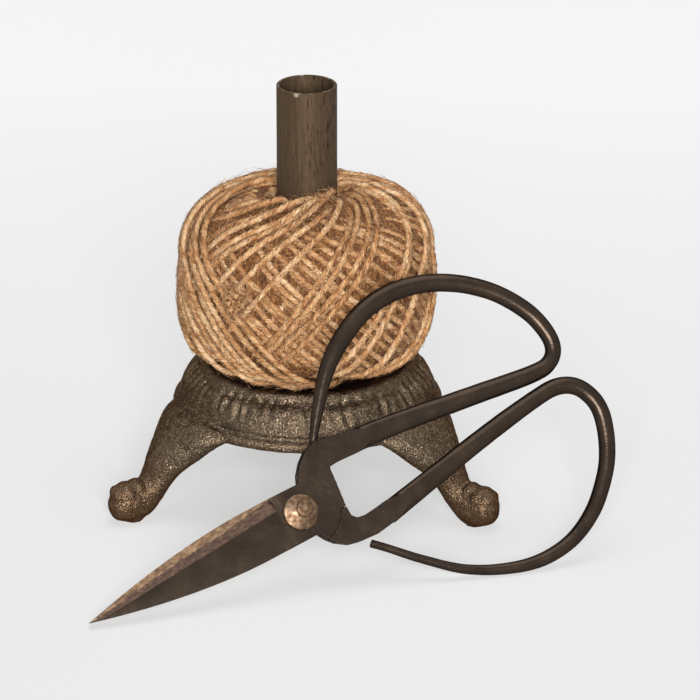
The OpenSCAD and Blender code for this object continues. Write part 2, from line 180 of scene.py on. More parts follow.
# %% Drawn tube
TUBE_TOP, TUBE_R, TUBE_BORE_R, TUBE_FOOT = 158.0, 11.1, 9.9, 44.7
KNOCK = Vector((-3.4, -10.6, 157.6)) * MM
drawn_tube, tree = new_finish("drawn_steel_browned")
place = add_node(tree, "TexCoord").outputs["Object"]
lines, streaks = (
    add_node(tree, "TexNoise", inputs={
        "Vector": add_node(tree, "Mapping", inputs={
            "Vector": place, "Scale": (1, 1, 1 / stretch)}).outputs["Vector"],
        "Scale": per_mm(size), "Detail": 4.0, "Roughness": 0.6}).outputs["Fac"]
    for stretch, size in ((30, 0.9), (8, 0.62)))
brown = add_node(tree, "ValToRGB", inputs={"Fac": lines}, stops=[
    (0.30, "#473829"), (0.52, "#4F3F30"), (0.75, "#584838")]).outputs["Color"]
spot = add_node(tree, "SeparateXYZ", inputs={0: place}).outputs
more_right = add_node(tree, "Math", {"operation": "MULTIPLY_ADD"}, {
    0: spot["X"], 1: 0.05 / (TUBE_R * MM), 2: streaks}).outputs[0]
chips = add_node(tree, "TexNoise", inputs={
    "Vector": place, "Scale": per_mm(2.2), "Detail": 4.0}).outputs["Fac"]
ragged = add_node(tree, "Math", {"operation": "MULTIPLY_ADD"}, {
    0: chips, 1: 1.2 * MM, 2: spot["Z"]}).outputs[0]
from_knock = add_node(tree, "VectorMath", {"operation": "DISTANCE"}, {
    0: place, 1: KNOCK}).outputs["Value"]
rim, nick = (
    add_node(tree, "MapRange", inputs={
        "Value": value, "From Min": none_at, "From Max": full_at}).outputs["Result"]
    for value, none_at, full_at in (
        (ragged, (TUBE_TOP + 0.62) * MM, (TUBE_TOP + 0.74) * MM),
        (from_knock, 1.3 * MM, 0.5 * MM)))
bright = add_node(tree, "Math", {"operation": "MAXIMUM"}, {0: rim, 1: nick}).outputs[0]
bare = laid_over(tree, brown, [
    (more_right, 0.57, 0.66, 0.85, "#231B15"),  # dark streaks
    (bright, 0.0, 1.0, 1.0, "#A39482")])  # bare steel
bump = add_node(tree, "Bump", inputs={
    "Height": lines, "Strength": 0.25, "Distance": 0.1 * MM}).outputs["Normal"]
rough = add_node(tree, "MapRange", inputs={
    "Value": streaks, "From Min": 0.3, "From Max": 0.7,
    "To Min": 0.58, "To Max": 0.72}).outputs["Result"]
shader = add_node(tree, "BsdfPrincipled", inputs={
    "Base Color": bare, "Metallic": 0.35, "Roughness": rough, "Normal": bump,
    "Specular Tint": linear("#A08C78")})
add_node(tree, "OutputMaterial", inputs={"Surface": shader.outputs["BSDF"]})
print("made", drawn_tube.name)

# %% [markdown]
# ## Forged steel, black from the fire
# The scissors keep their forge scale: a warm near-black skin, smooth to the hand but never
# even. File strokes run along the steel, and the edges are rubbed to grey. Pointiness, which
# measures how sharply a surface bends, finds those edges without painting them one by one.

# %% Forged steel
forged_steel, tree = new_finish("forged_steel_black")
place = add_node(tree, "TexCoord").outputs["Object"]
scale_skin = add_node(tree, "TexNoise", inputs={
    "Vector": place, "Scale": per_mm(9), "Detail": 5.0, "Roughness": 0.62}).outputs["Fac"]
pits = add_node(tree, "TexNoise", inputs={
    "Vector": place, "Scale": per_mm(1.1), "Detail": 3.0, "Roughness": 0.6}).outputs["Fac"]
BLADE_WAY = (0, -0.305, 0.513)
strokes = add_node(tree, "TexNoise", inputs={
    "Vector": add_node(tree, "Mapping", {"vector_type": "TEXTURE"}, {
        "Vector": place, "Rotation": BLADE_WAY, "Scale": (12, 1, 1)}).outputs["Vector"],
    "Scale": per_mm(0.8), "Detail": 3.0}).outputs["Fac"]
colour = add_node(tree, "ValToRGB", inputs={"Fac": scale_skin}, stops=[
    (0.30, "#352D27"), (0.52, "#3B322B"), (0.72, "#44382E")]).outputs["Color"]
bend = add_node(tree, "NewGeometry").outputs["Pointiness"]
colour = laid_over(tree, colour, [
    (pits, 0.66, 0.8, 0.5, "#6B5644"),  # brown flecks
    (bend, 0.54, 0.64, 0.22, "#6F6254")])  # grey edges
heights = add_node(tree, "Math", {"operation": "ADD"}, {0: pits, 1: strokes}).outputs[0]
bump = add_node(tree, "Bump", inputs={
    "Height": heights, "Strength": 0.35, "Distance": 0.12 * MM}).outputs["Normal"]
rough = add_node(tree, "MapRange", inputs={
    "Value": scale_skin, "From Min": 0.3, "From Max": 0.7,
    "To Min": 0.25, "To Max": 0.31}).outputs["Result"]
shader = add_node(tree, "BsdfPrincipled", inputs={
    "Base Color": colour, "Metallic": 0.85, "Roughness": rough, "Normal": bump,
    "Specular Tint": linear("#7A6654")})
add_node(tree, "OutputMaterial", inputs={"Surface": shader.outputs["BSDF"]})
print("made", forged_steel.name)

# %% [markdown]
# ## Ground bevel, tarnished
# The cutting edge is ground in two strokes: a narrow strip at the edge, still light, and a
# darker one behind it that has tarnished brown. The mesh carries a value named `edge`, one at
# the cutting edge and zero at the back of the bevel, and the strips are read from it. Noise
# stretched across the edge gives the stone's scratches.

# %% Ground bevel
ground_steel, tree = new_finish("ground_steel_tarnished")
place = add_node(tree, "TexCoord").outputs["Object"]
edge = add_node(tree, "Attribute", {"attribute_name": "edge"}).outputs["Fac"]
blots = add_node(tree, "TexNoise", inputs={
    "Vector": add_node(tree, "Mapping", {"vector_type": "TEXTURE"}, {
        "Vector": place, "Rotation": BLADE_WAY, "Scale": (1.5, 1, 1)}).outputs["Vector"],
    "Scale": per_mm(1.5), "Detail": 6.0, "Roughness": 0.72}).outputs["Fac"]
stone = add_node(tree, "TexNoise", inputs={
    "Vector": add_node(tree, "Mapping", {"vector_type": "TEXTURE"}, {
        "Vector": place, "Rotation": BLADE_WAY, "Scale": (1, 8, 8)}).outputs["Vector"],
    "Scale": per_mm(0.7), "Detail": 3.0}).outputs["Fac"]
wander = add_node(tree, "Math", {"operation": "MULTIPLY_ADD"}, {
    0: blots, 1: 0.14, 2: edge}).outputs[0]
strip = add_node(tree, "MapRange", inputs={
    "Value": wander, "From Min": 0.58, "From Max": 0.62}).outputs["Result"]
light = add_node(tree, "ValToRGB", inputs={"Fac": blots}, stops=[
    (0.38, "#594333"), (0.5, "#755C46"), (0.62, "#917559")]).outputs["Color"]
dark = add_node(tree, "ValToRGB", inputs={"Fac": blots}, stops=[
    (0.38, "#3E2E26"), (0.5, "#4C3A30"), (0.62, "#664E40")]).outputs["Color"]
colour = add_node(tree, "Mix", {"data_type": "RGBA"}, {0: strip, 6: dark, 7: light}).outputs[2]
bump = add_node(tree, "Bump", inputs={
    "Height": stone, "Strength": 0.14, "Distance": 0.08 * MM}).outputs["Normal"]
rough = add_node(tree, "MapRange", inputs={
    "Value": blots, "From Min": 0.3, "From Max": 0.7,
    "To Min": 0.5, "To Max": 0.36}).outputs["Result"]
shader = add_node(tree, "BsdfPrincipled", inputs={
    "Base Color": colour, "Metallic": 0.7, "Roughness": rough, "Normal": bump})
add_node(tree, "OutputMaterial", inputs={"Surface": shader.outputs["BSDF"]})
print("made", ground_steel.name)

# %% [markdown]
# ## Hammered brass, aged
# The rivet and its domed washers are soft brass that was hammered shut and has darkened to a
# copper brown. The tarnish lies in blotches, dull where they are dark and shinier where they are
# light, and fine pits roughen all of it.

# %% Aged brass
aged_brass, tree = new_finish("brass_hammered_aged")
place = add_node(tree, "TexCoord").outputs["Object"]
blots = add_node(tree, "TexNoise", inputs={
    "Vector": place, "Scale": per_mm(2.4), "Detail": 5.0, "Roughness": 0.65}).outputs["Fac"]
pits = add_node(tree, "TexNoise", inputs={
    "Vector": place, "Scale": per_mm(0.6), "Detail": 2.0}).outputs["Fac"]
colour = add_node(tree, "ValToRGB", inputs={"Fac": blots}, stops=[
    (0.34, "#423124"), (0.5, "#604B38"), (0.66, "#806B57")]).outputs["Color"]
bump = add_node(tree, "Bump", inputs={
    "Height": pits, "Strength": 0.25, "Distance": 0.1 * MM}).outputs["Normal"]
rough = add_node(tree, "MapRange", inputs={
    "Value": blots, "From Min": 0.3, "From Max": 0.7,
    "To Min": 0.48, "To Max": 0.36}).outputs["Result"]
shader = add_node(tree, "BsdfPrincipled", inputs={
    "Base Color": colour, "Metallic": 0.95, "Roughness": rough, "Normal": bump})
add_node(tree, "OutputMaterial", inputs={"Surface": shader.outputs["BSDF"]})
print("made", aged_brass.name)

# %% [markdown]
# ## Plain steel fasteners
# The bolt, its washer and the plug in the tube's foot are turned mild steel, dull and brown where
# rust has started. The plug is hidden and the other two show only from below, where the CAD
# shapes are right as they are, so all three keep their CAD solids and only take this finish.

# %% Fastener steel
fastener_steel, tree = new_finish("turned_mild_steel")
place = add_node(tree, "TexCoord").outputs["Object"]
lathe_lines = add_node(tree, "TexNoise", inputs={
    "Vector": add_node(tree, "Mapping", inputs={
        "Vector": place, "Scale": (0.1, 0.1, 1)}).outputs["Vector"],
    "Scale": per_mm(0.5), "Detail": 2.0}).outputs["Fac"]
rust = add_node(tree, "TexNoise", inputs={
    "Vector": place, "Scale": per_mm(2.5), "Detail": 5.0, "Roughness": 0.7}).outputs["Fac"]
colour = add_node(tree, "ValToRGB", inputs={"Fac": rust}, stops=[
    (0.40, "#8B8680"), (0.58, "#77716A"), (0.70, "#6B4F3A")]).outputs["Color"]
bump = add_node(tree, "Bump", inputs={
    "Height": lathe_lines, "Strength": 0.2, "Distance": 0.05 * MM}).outputs["Normal"]
rough = add_node(tree, "MapRange", inputs={
    "Value": rust, "From Min": 0.4, "From Max": 0.7,
    "To Min": 0.32, "To Max": 0.6}).outputs["Result"]
shader = add_node(tree, "BsdfPrincipled", inputs={
    "Base Color": colour, "Metallic": 0.9, "Roughness": rough, "Normal": bump})
add_node(tree, "OutputMaterial", inputs={"Surface": shader.outputs["BSDF"]})
for name in ("tube_plug", "fixing_bolt", "fixing_washer"):
    slots = frame["nodes"][name].data.materials
    slots.clear()
    slots.append(fastener_steel)
print("made", fastener_steel.name)

# %% [markdown]
# ## Jute twine
# Jute is a bast fibre: straw-coloured strands, spun and then plied. Each ply shows as a slanted
# ridge, and its fibres as light and dark streaks along that ridge. The mesh of the twine turns
# with the plies and carries a value named `fibre`: two numbers for the place round the twine, in
# twine radii, and one for the distance along it in mm. Noise on `fibre` that is stretched along
# the twine follows the plies by itself. Real fibres are about 0.05 mm wide, too fine to show, so
# a streak is drawn 0.4 mm wide.

# %% Jute
TWINE_R, STREAK, SLUB = 1.2, 0.375, 0.75
jute, tree = new_finish("jute_plied_twine")
fibre = add_node(tree, "Attribute", {"attribute_name": "fibre"}).outputs["Vector"]
tone = add_node(tree, "Attribute", {"attribute_name": "tone"}).outputs["Fac"]
streaks = add_node(tree, "TexNoise", inputs={
    "Vector": add_node(tree, "Mapping", inputs={
        "Vector": fibre, "Scale": (1, 1, 0.13)}).outputs["Vector"],
    "Scale": TWINE_R / STREAK, "Detail": 4.0, "Roughness": 0.7}).outputs["Fac"]
slubs = add_node(tree, "TexNoise", inputs={
    "Vector": add_node(tree, "Mapping", inputs={
        "Vector": fibre, "Scale": (0.2, 0.2, 0.05)}).outputs["Vector"],
    "Scale": TWINE_R / SLUB, "Detail": 2.0}).outputs["Fac"]
toned = streaks
for value, share in ((slubs, 0.5), (tone, 0.05)):
    toned = add_node(tree, "Math", {"operation": "MULTIPLY_ADD"}, {
        0: value, 1: share, 2: toned}).outputs[0]
straw = add_node(tree, "ValToRGB", inputs={"Fac": toned}, stops=[
    (0.56, "#673819"), (0.68, "#B37A46"), (0.78, "#D7A571"), (0.92, "#F7DBB2")]).outputs["Color"]
bump = add_node(tree, "Bump", inputs={
    "Height": streaks, "Strength": 0.9, "Distance": 0.3 * MM}).outputs["Normal"]
shader = add_node(tree, "BsdfPrincipled", inputs={
    "Base Color": straw, "Roughness": 0.82, "IOR": 1.53, "Sheen Weight": 0.06,
    "Sheen Roughness": 0.5, "Sheen Tint": linear("#E8CFA8"), "Normal": bump})
add_node(tree, "OutputMaterial", inputs={"Surface": shader.outputs["BSDF"]})
print("made", jute.name)

# %% [markdown]
# ## Loose fibres and the imported inside
# Fibres that stand off the twine are single, so each has one even colour, from brown to straw.
# Deep in the ball the twine lies so close that only a mat shows between the strands. Its dark
# brown is painted shade for those deep gaps. It needs no strands of its own, but it gets the same
# streaks, in every direction.

# %% Loose fibres and packed jute
loose_jute, tree = new_finish("jute_loose_fibre")
place = add_node(tree, "TexCoord").outputs["Object"]
each = add_node(tree, "TexNoise", inputs={
    "Vector": place, "Scale": per_mm(1.1), "Detail": 1.0}).outputs["Fac"]
colour = add_node(tree, "ValToRGB", inputs={"Fac": each}, stops=[
    (0.34, "#6D4120"), (0.5, "#B38151"), (0.66, "#E3BD8D")]).outputs["Color"]
shader = add_node(tree, "BsdfPrincipled", inputs={
    "Base Color": colour, "Roughness": 0.6, "IOR": 1.53})
add_node(tree, "OutputMaterial", inputs={"Surface": shader.outputs["BSDF"]})

shaded_packed_jute, tree = new_finish("jute_packed_inside_painted_shade")
place = add_node(tree, "TexCoord").outputs["Object"]
mat = add_node(tree, "TexNoise", inputs={
    "Vector": add_node(tree, "Mapping", inputs={
        "Vector": place, "Rotation": (0, 0.9, 0.4), "Scale": (1, 1, 0.2)}).outputs["Vector"],
    "Scale": per_mm(0.8), "Detail": 4.0}).outputs["Fac"]
# painted shade: the mat is darker than the twine, for the shade in the gaps between strands
colour = add_node(tree, "ValToRGB", inputs={"Fac": mat}, stops=[
    (0.35, "#43270E"), (0.52, "#794C25"), (0.66, "#AC7A47")]).outputs["Color"]
bump = add_node(tree, "Bump", inputs={
    "Height": mat, "Strength": 0.8, "Distance": 0.5 * MM}).outputs["Normal"]
shader = add_node(tree, "BsdfPrincipled", inputs={
    "Base Color": colour, "Roughness": 0.9, "IOR": 1.53, "Normal": bump})
add_node(tree, "OutputMaterial", inputs={"Surface": shader.outputs["BSDF"]})
print("made", loose_jute.name, "and", shaded_packed_jute.name)

# %% [markdown]
# ## Mesh helpers
# Most pieces here are either swept, as rings of points joined one after the other, or turned
# on an axis. Three small functions do that in millimetres, and a smooth curve goes through a
# few known points, as a draughtsman's spline does. Shapes stay plain arrays until `make_piece`
# writes the mesh in metres and ties it to its CAD body, which is quick. With a crease angle it
# also welds the seams and keeps sharp edges. Twine has neither, so it goes without.

# %% Mesh helpers
def smooth_line(points, steps):
    p = np.asarray(points, float)
    q = np.vstack([p[:1], p, p[-1:]])
    t = np.linspace(0, 1, steps, endpoint=False)[:, None]
    spans = [
        0.5 * (2 * b + (c - a) * t + (2 * a - 5 * b + 4 * c - d) * t ** 2
               + (3 * b - a - 3 * c + d) * t ** 3)
        for a, b, c, d in zip(q, q[1:], q[2:], q[3:])]
    return np.vstack(spans + [p[-1:]])


def skin(rings):
    count, sides = rings.shape[:2]
    first = np.arange(count - 1)[:, None] * sides
    near, far = first + np.arange(sides), first + (np.arange(sides) + 1) % sides
    walls = np.stack([near, far, far + sides, near + sides], -1).reshape(-1, 4).tolist()
    last = (count - 1) * sides
    caps = [list(range(sides))[::-1], list(range(last, last + sides))]
    return rings.reshape(-1, 3), walls + caps


AXIS_R = 0.02


def turned(profile, segments=144):
    p = np.asarray(profile, float)
    size = len(p)
    angle = np.linspace(0, 2 * np.pi, segments, endpoint=False)[:, None]
    points = np.stack([
        p[:, 0] * np.cos(angle), p[:, 0] * np.sin(angle), p[:, 1] + 0 * angle], -1)
    i, j = np.meshgrid(np.arange(segments), np.arange(size), indexing="ij")
    n, m = (i + 1) % segments, (j + 1) % size
    faces = np.stack([i * size + j, n * size + j, n * size + m, i * size + m], -1)
    return points.reshape(-1, 3), faces.reshape(-1, 4).tolist()


def slab(outline, low, high):
    flat = np.asarray(outline, float)
    rings = np.stack([np.column_stack([flat, np.full(len(flat), z)]) for z in (low, high)])
    return skin(rings)


def joined(shells):
    starts = np.cumsum([0] + [len(points) for points, _ in shells])
    faces = [
        [v + start for v in face] for start, (_, shell) in zip(starts, shells) for face in shell]
    return np.vstack([points for points, _ in shells]), faces


def make_piece(name, shell, body, finishes, stands_for=(), crease=None):
    mesh = bpy.data.meshes.new(name)
    mesh.from_pydata((np.asarray(shell[0]) * MM).tolist(), [], shell[1])
    if crease:
        work = bmesh.new()
        work.from_mesh(mesh)
        bmesh.ops.remove_doubles(work, verts=work.verts, dist=0.002 * MM)
        bmesh.ops.recalc_face_normals(work, faces=work.faces)
        work.to_mesh(mesh)
        work.free()
    mesh.shade_smooth()
    if crease:
        mesh.set_sharp_from_angle(angle=math.radians(crease))
    for finish in finishes:
        mesh.materials.append(finish)
    piece = bpy.data.objects.new(name, mesh)
    scene.collection.objects.link(piece)
    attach(piece, body)
    if stands_for:
        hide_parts(*stands_for)
    print("made", name, "with", len(mesh.polygons), "faces")
    return piece


# %% [markdown]
# ## Fusing and roughening
# A casting or forging is one body, so its overlapping shapes are fused: a voxel remesh wraps
# them in one even skin, and a few rounds of smoothing soften the joins as metal does in the
# mould. The skin is then pushed in and out by noise, because sand and hammers leave no true
# surface. A boolean would fuse them too, but with knife-sharp joins.

# %% Fusing and roughening
def fused(shells, voxel, rounds):
    mesh = bpy.data.meshes.new("blank")
    points, faces = joined(shells)
    mesh.from_pydata((points * MM).tolist(), [], faces)
    blank = bpy.data.objects.new("blank", mesh)
    scene.collection.objects.link(blank)
    wrap = blank.modifiers.new("wrap", "REMESH")
    wrap.mode, wrap.voxel_size = "VOXEL", voxel * MM
    soften = blank.modifiers.new("soften", "SMOOTH")
    soften.factor, soften.iterations = 0.5, rounds
    done = blank.evaluated_get(bpy.context.evaluated_depsgraph_get()).to_mesh()
    points = np.empty(len(done.vertices) * 3)
    done.vertices.foreach_get("co", points)
    faces = [list(face.vertices) for face in done.polygons]
    bpy.data.objects.remove(blank)
    return points.reshape(-1, 3) / MM, faces


def out_of(points, faces):
    quads = np.array(faces)
    corner = points[quads]
    facing = np.cross(corner[:, 2] - corner[:, 0], corner[:, 3] - corner[:, 1])
    out = np.zeros_like(points)
    for k in range(4):
        np.add.at(out, quads[:, k], facing)
    return out / np.maximum(np.linalg.norm(out, axis=1, keepdims=True), 1e-12)


def waves(points, size, shift=0.0):
    return np.array([noise.noise(Vector(p)) for p in points / size + shift])


# %% [markdown]
# ## Dish
# The dish is turned from its profile: a raised ring that carries the ball, a rounded rim, a
# band, a groove and a lip. A smooth line through a few points gives each of these curves, and a
# modeller's loop cuts would only come near them.

# %% Dish
SEAT_Z, LIP_Z, DISH_R, DISH_WALL = 46.2, 32.6, 50.2, 3.6
UNDER_Z = SEAT_Z - DISH_WALL
rim = smooth_line([
    (31, 49.8), (34, 50.9), (36, 51.5), (37.8, 51.9), (39.0, 51.5), (39.9, 50.6), (40.7, 49.2),
    (41.7, 48.3), (44.0, SEAT_Z + 0.4), (46.2, 43.2), (47.4, 40.2), (48.2, 37.2)], 4)
lip = smooth_line([
    (48.2, 37.2), (48.6, 36.4), (49.6, 36.0), (DISH_R, 34.6), (DISH_R, 33.6), (49.5, LIP_Z)], 3)
under = [(46.6, LIP_Z), (44.6, 37.6), (42.6, 40.1), (35.5, UNDER_Z), (AXIS_R, UNDER_Z)]
dish = turned(np.vstack([[(AXIS_R, SEAT_Z), (27, SEAT_Z)], rim, lip[1:], under]), 240)
print("dish has", len(dish[1]), "faces")

# %% [markdown]
# ## Legs
# Each leg is a sweep of ovals that start as a broad apron under the lip, narrow to an ankle and
# end in a slipper foot. Three knobs that run into each other make its rolled toe, and a small
# flat pad makes the sole.

# %% Legs
TOE_R, FOOT_R, FOOT_Z, ANKLE, APRON = 82.5, 71.5, 7.4, 13.0, 46.0
SOLE_R = FOOT_R + 1.4
TOE_KNOBS = [
    (78.6, 11.3, (3.2, 5.0, 3.1)), (75.0, 12.0, (5.4, 5.2, 3.4)), (71.6, 12.6, (4.0, 4.8, 3.4))]
leg_line = smooth_line([
    (DISH_R - 5, LIP_Z + 3, 4, APRON / 2), (DISH_R + 0.4, LIP_Z, 5.4, 0.46 * APRON),
    (FOOT_R - 17, LIP_Z - 5.4, 6.4, 0.35 * APRON), (FOOT_R - 12, 0.64 * LIP_Z, 6, 0.23 * APRON),
    (FOOT_R - 8.4, 0.46 * LIP_Z, 5.4, 0.57 * ANKLE), (FOOT_R - 5, 0.31 * LIP_Z, 5.6, 0.5 * ANKLE),
    (FOOT_R - 0.6, FOOT_Z, 7.2, 0.5 * ANKLE), (FOOT_R + 4.4, FOOT_Z - 0.3, 7.0, 0.5 * ANKLE),
    (TOE_R - 2.6, FOOT_Z + 0.7, 5.2, 0.42 * ANKLE),
    (TOE_R - 0.6, FOOT_Z + 1.5, 1.4, 0.16 * ANKLE)], 8)


def leg(turn):
    ahead = np.gradient(leg_line[:, :2], axis=0)
    ahead /= np.linalg.norm(ahead, axis=1, keepdims=True)
    angle = -np.linspace(0, 2 * np.pi, 32, endpoint=False)[None]
    out = leg_line[:, :1] - ahead[:, 1:] * leg_line[:, 2:3] * np.sin(angle)
    up = np.maximum(leg_line[:, 1:2] + ahead[:, :1] * leg_line[:, 2:3] * np.sin(angle), 0)
    swing = leg_line[:, 3:4] * np.cos(angle) / leg_line[:, :1] + turn
    return skin(np.stack([out * np.cos(swing), out * np.sin(swing), up], -1))


def knob(out, up, sizes, turn):
    bow = np.linspace(0.02, np.pi - 0.02, 12)[:, None]
    around = np.linspace(0, 2 * np.pi, 20, endpoint=False)[None]
    ball = np.stack([
        np.sin(bow) * np.cos(around), np.cos(bow) + 0 * around, np.sin(bow) * np.sin(around)], -1)
    x, y, z = np.moveaxis(ball * sizes + (out, 0, up), -1, 0)
    c, s = math.cos(turn), math.sin(turn)
    return skin(np.stack([x * c - y * s, x * s + y * c, z], -1))


pad_points, pad_faces = turned([(AXIS_R, 0), (3.6, 0), (4.6, 1.8), (AXIS_R, 2.5)], 32)
shells = [dish]
for turn in (math.pi / 2, math.pi * 7 / 6, math.pi * 11 / 6):
    sole = (SOLE_R * math.cos(turn), SOLE_R * math.sin(turn), 0)
    shells.append(leg(turn))
    shells += [knob(*toe_knob, turn) for toe_knob in TOE_KNOBS]
    shells.append((pad_points + sole, pad_faces))
print(len(shells), "shapes to fuse")

# %% [markdown]
# ## Casting
# The shapes are fused to one skin. Sixty flutes run over the rim, pressed into the skin rather
# than cut, so they stay as soft as they are on old iron, and some are fainter than others. Noise
# in two sizes gives the unevenness of the sand, with more of it on the feet. It fades out at the
# soles, which have to stand flat.

# %% Casting
FLUTES, FLUTE_DEPTH = 60, 0.95
GROOVE_R, GROOVE_Z, GROOVE_WIDTH, GROOVE_DEPTH = 48.3, 37.4, 0.7, 0.6
points, faces = fused(shells, 0.7, 3)
out = out_of(points, faces)
reach, angle = np.hypot(points[:, 0], points[:, 1]), np.arctan2(points[:, 1], points[:, 0])
on_rim = np.clip((reach - 40.0) / 1.6, 0, 1) * np.clip((points[:, 2] - 40.6) / 4.0, 0, 1)
on_rim *= np.clip(out[:, 2] + 0.9, 0, 1)
flute = 0.5 - 0.5 * np.cos(FLUTES * angle + 2.4 * waves(points, 11.0, 4.0))
softness = np.clip(0.6 + 1.5 * waves(points, 7.0), 0, 1.5)
grain = 0.14 * waves(points, 3.1) + 0.09 * waves(points, 1.3, 7.0)
on_foot = np.clip((reach - 64) / 4, 0, 1) * np.clip((18 - points[:, 2]) / 3, 0, 1)
grain = (grain + 0.4 * on_foot * waves(points, 4.2, 2.0)) * np.clip(points[:, 2] / 1.5, 0, 1)
groove = np.exp(-((points[:, 2] - GROOVE_Z) / GROOVE_WIDTH) ** 2)
groove *= np.clip(2 - np.abs(reach - GROOVE_R), 0, 1)
pressed = FLUTE_DEPTH * on_rim * flute * softness
points = points + out * (grain - pressed - GROOVE_DEPTH * groove)[:, None]
points[:, 2] = np.maximum(points[:, 2], 0)
make_piece(
    "dish_and_legs", (points, faces), "stand", [cast_iron], ["base_casting"], 180)

# %% [markdown]
# ## Tube
# The tube is turned from a section of its wall, with the arrises of the cut rim broken by a
# third of a millimetre, because a file always takes them off.

# %% Tube
BREAK, HALF_BREAK, PLUG_R, PLUG_TOP = 0.3, 0.1, 10.2, TUBE_FOOT + 12
wall = [
    (TUBE_R, TUBE_FOOT), (TUBE_R, TUBE_TOP - BREAK), (TUBE_R - HALF_BREAK, TUBE_TOP - HALF_BREAK),
    (TUBE_R - BREAK, TUBE_TOP), (TUBE_BORE_R + BREAK, TUBE_TOP),
    (TUBE_BORE_R + HALF_BREAK, TUBE_TOP - HALF_BREAK), (TUBE_BORE_R, TUBE_TOP - BREAK),
    (TUBE_BORE_R, PLUG_TOP), (PLUG_R, PLUG_TOP), (PLUG_R, TUBE_FOOT)]
make_piece("tube", turned(wall, 160), "stand", [drawn_tube], ["spindle_tube"], 50)

# %% [markdown]
# ## Scissors: where they lie
# The scissors are drawn flat first, as a smith would see them: x from the rivet to the bows, y
# up, and z to the front. One function then leans them on the ball, by the same turns that the
# CAD source uses, so every outline below can stay in the flat drawing.

# %% Scissors' place
BLADE, HALF, LAP_GAP, SHANK = 88.4, 2.7, 0.3, 5.7
LEAN, YAW = math.radians(30), math.radians(18.9)
LOW_BOW = (57.6, 54)
SLOPE = math.atan2(LOW_BOW[1], BLADE + LOW_BOW[0])
TIP_ALONG, TIP_OUT, TIP_LIFT = -110.9, -101.1008, 0.07
TIP = np.array((TIP_ALONG, TIP_OUT, SHANK / 2 * math.sin(LEAN) + TIP_LIFT))


def leaned(points):
    x, y, z = np.asarray(points, float).T
    x = x + BLADE
    x, y = x * math.cos(SLOPE) - y * math.sin(SLOPE), x * math.sin(SLOPE) + y * math.cos(SLOPE)
    y, z = y * math.sin(LEAN) - z * math.cos(LEAN), y * math.cos(LEAN) + z * math.sin(LEAN)
    x, y, z = x + TIP[0], y + TIP[1], z + TIP[2]
    return np.column_stack([
        x * math.cos(YAW) - y * math.sin(YAW), x * math.sin(YAW) + y * math.cos(YAW), z])


pivot = next(j for j in frame["joints"] if j["name"] == "scissors_pivot")["pos_m"]
miss = np.abs(leaned([(0, 0, 0)])[0] - np.array(pivot) / MM).max()
print("rivet is off the CAD pivot by", miss.round(4), "mm")

# %% [markdown]
# ## Scissors: blades
# A blade is swept from its point to the lap as a seven-sided section: flat at the back, and at
# the front a flat face that meets the ground bevel. The bevel is split by a line for its two
# grinding strokes. Sharp lines matter here, so the blade isn't fused with the rest. Behind the
# square shoulder of the bevel it runs on for 6 mm and sinks into the lap, so that no seam shows.

# %% Blades
BEVEL_START, BEVEL_END, BEVEL_FALL = (-9.0, 3.9), (-84.0, -0.9), 1.9 / 4.6
SHOULDER, PROUD, SINK = 9.0, 0.015, 0.06


def blade_edge(x, height):
    along = np.clip((x + BLADE) / (BLADE - 20), 0, 1)
    return height * (1 - (1 - along) ** 1.75)


def blade(cut, spine, tip_in):
    ground_length = BLADE - SHOULDER - tip_in
    x = np.concatenate([
        -BLADE + tip_in + ground_length * np.linspace(0, 1, 60) ** 1.4, [-8.98, -8.5, -3]])
    sunk = np.clip((x + 8.5) / 5.5, 0, 1)
    slim = 1 - SINK * sunk
    top, bottom = blade_edge(x - tip_in, cut) * slim, blade_edge(x - tip_in, -spine) * slim
    share = (x - BEVEL_START[0]) / (BEVEL_END[0] - BEVEL_START[0])
    ground = BEVEL_START[1] + share * (BEVEL_END[1] - BEVEL_START[1])
    ground = np.where(x <= -SHOULDER, ground, top)
    line = np.clip(ground, bottom, top)
    middle = line + (0.5 + 0.4 * np.clip((x + 27) / 18, 0, 1)) * (top - line)
    soft = np.minimum(0.35, 0.3 * (top - bottom))
    front = HALF + LAP_GAP / 2 + PROUD - SINK * sunk
    rear = LAP_GAP / 2 - PROUD + SINK * sunk

    def face(y):
        return front - BEVEL_FALL * np.maximum(y - ground, 0)

    section = [
        (bottom, rear, 0), (top, rear, 1), (top, face(top), 1),
        (middle, face(middle) - 0.03, 0.5), (line, face(line), 0),
        (bottom + soft, face(bottom + soft), 0), (bottom, face(bottom) - soft, 0)]
    rings = np.stack([np.column_stack([x, y, z]) for y, z, _ in section], 1)
    return skin(rings), np.tile([value for _, _, value in section], len(x))


# %% [markdown]
# ## Scissors: outlines
# Each half has a thick heel beside the lap, drawn out to a shank and bent into a bow. The heels
# and laps are flat outlines, and they share one arc round the rivet, so that the halves can turn
# past each other. A handle is a line of points that carries its half width along.

# %% Outlines
LAP_R, ARC_GAP = 14.2, 0.02


def lap_arc(first, last):
    turn = np.radians(np.linspace(first, last, 12))
    return list(zip((LAP_R - ARC_GAP) * np.cos(turn), (LAP_R - ARC_GAP) * np.sin(turn)))


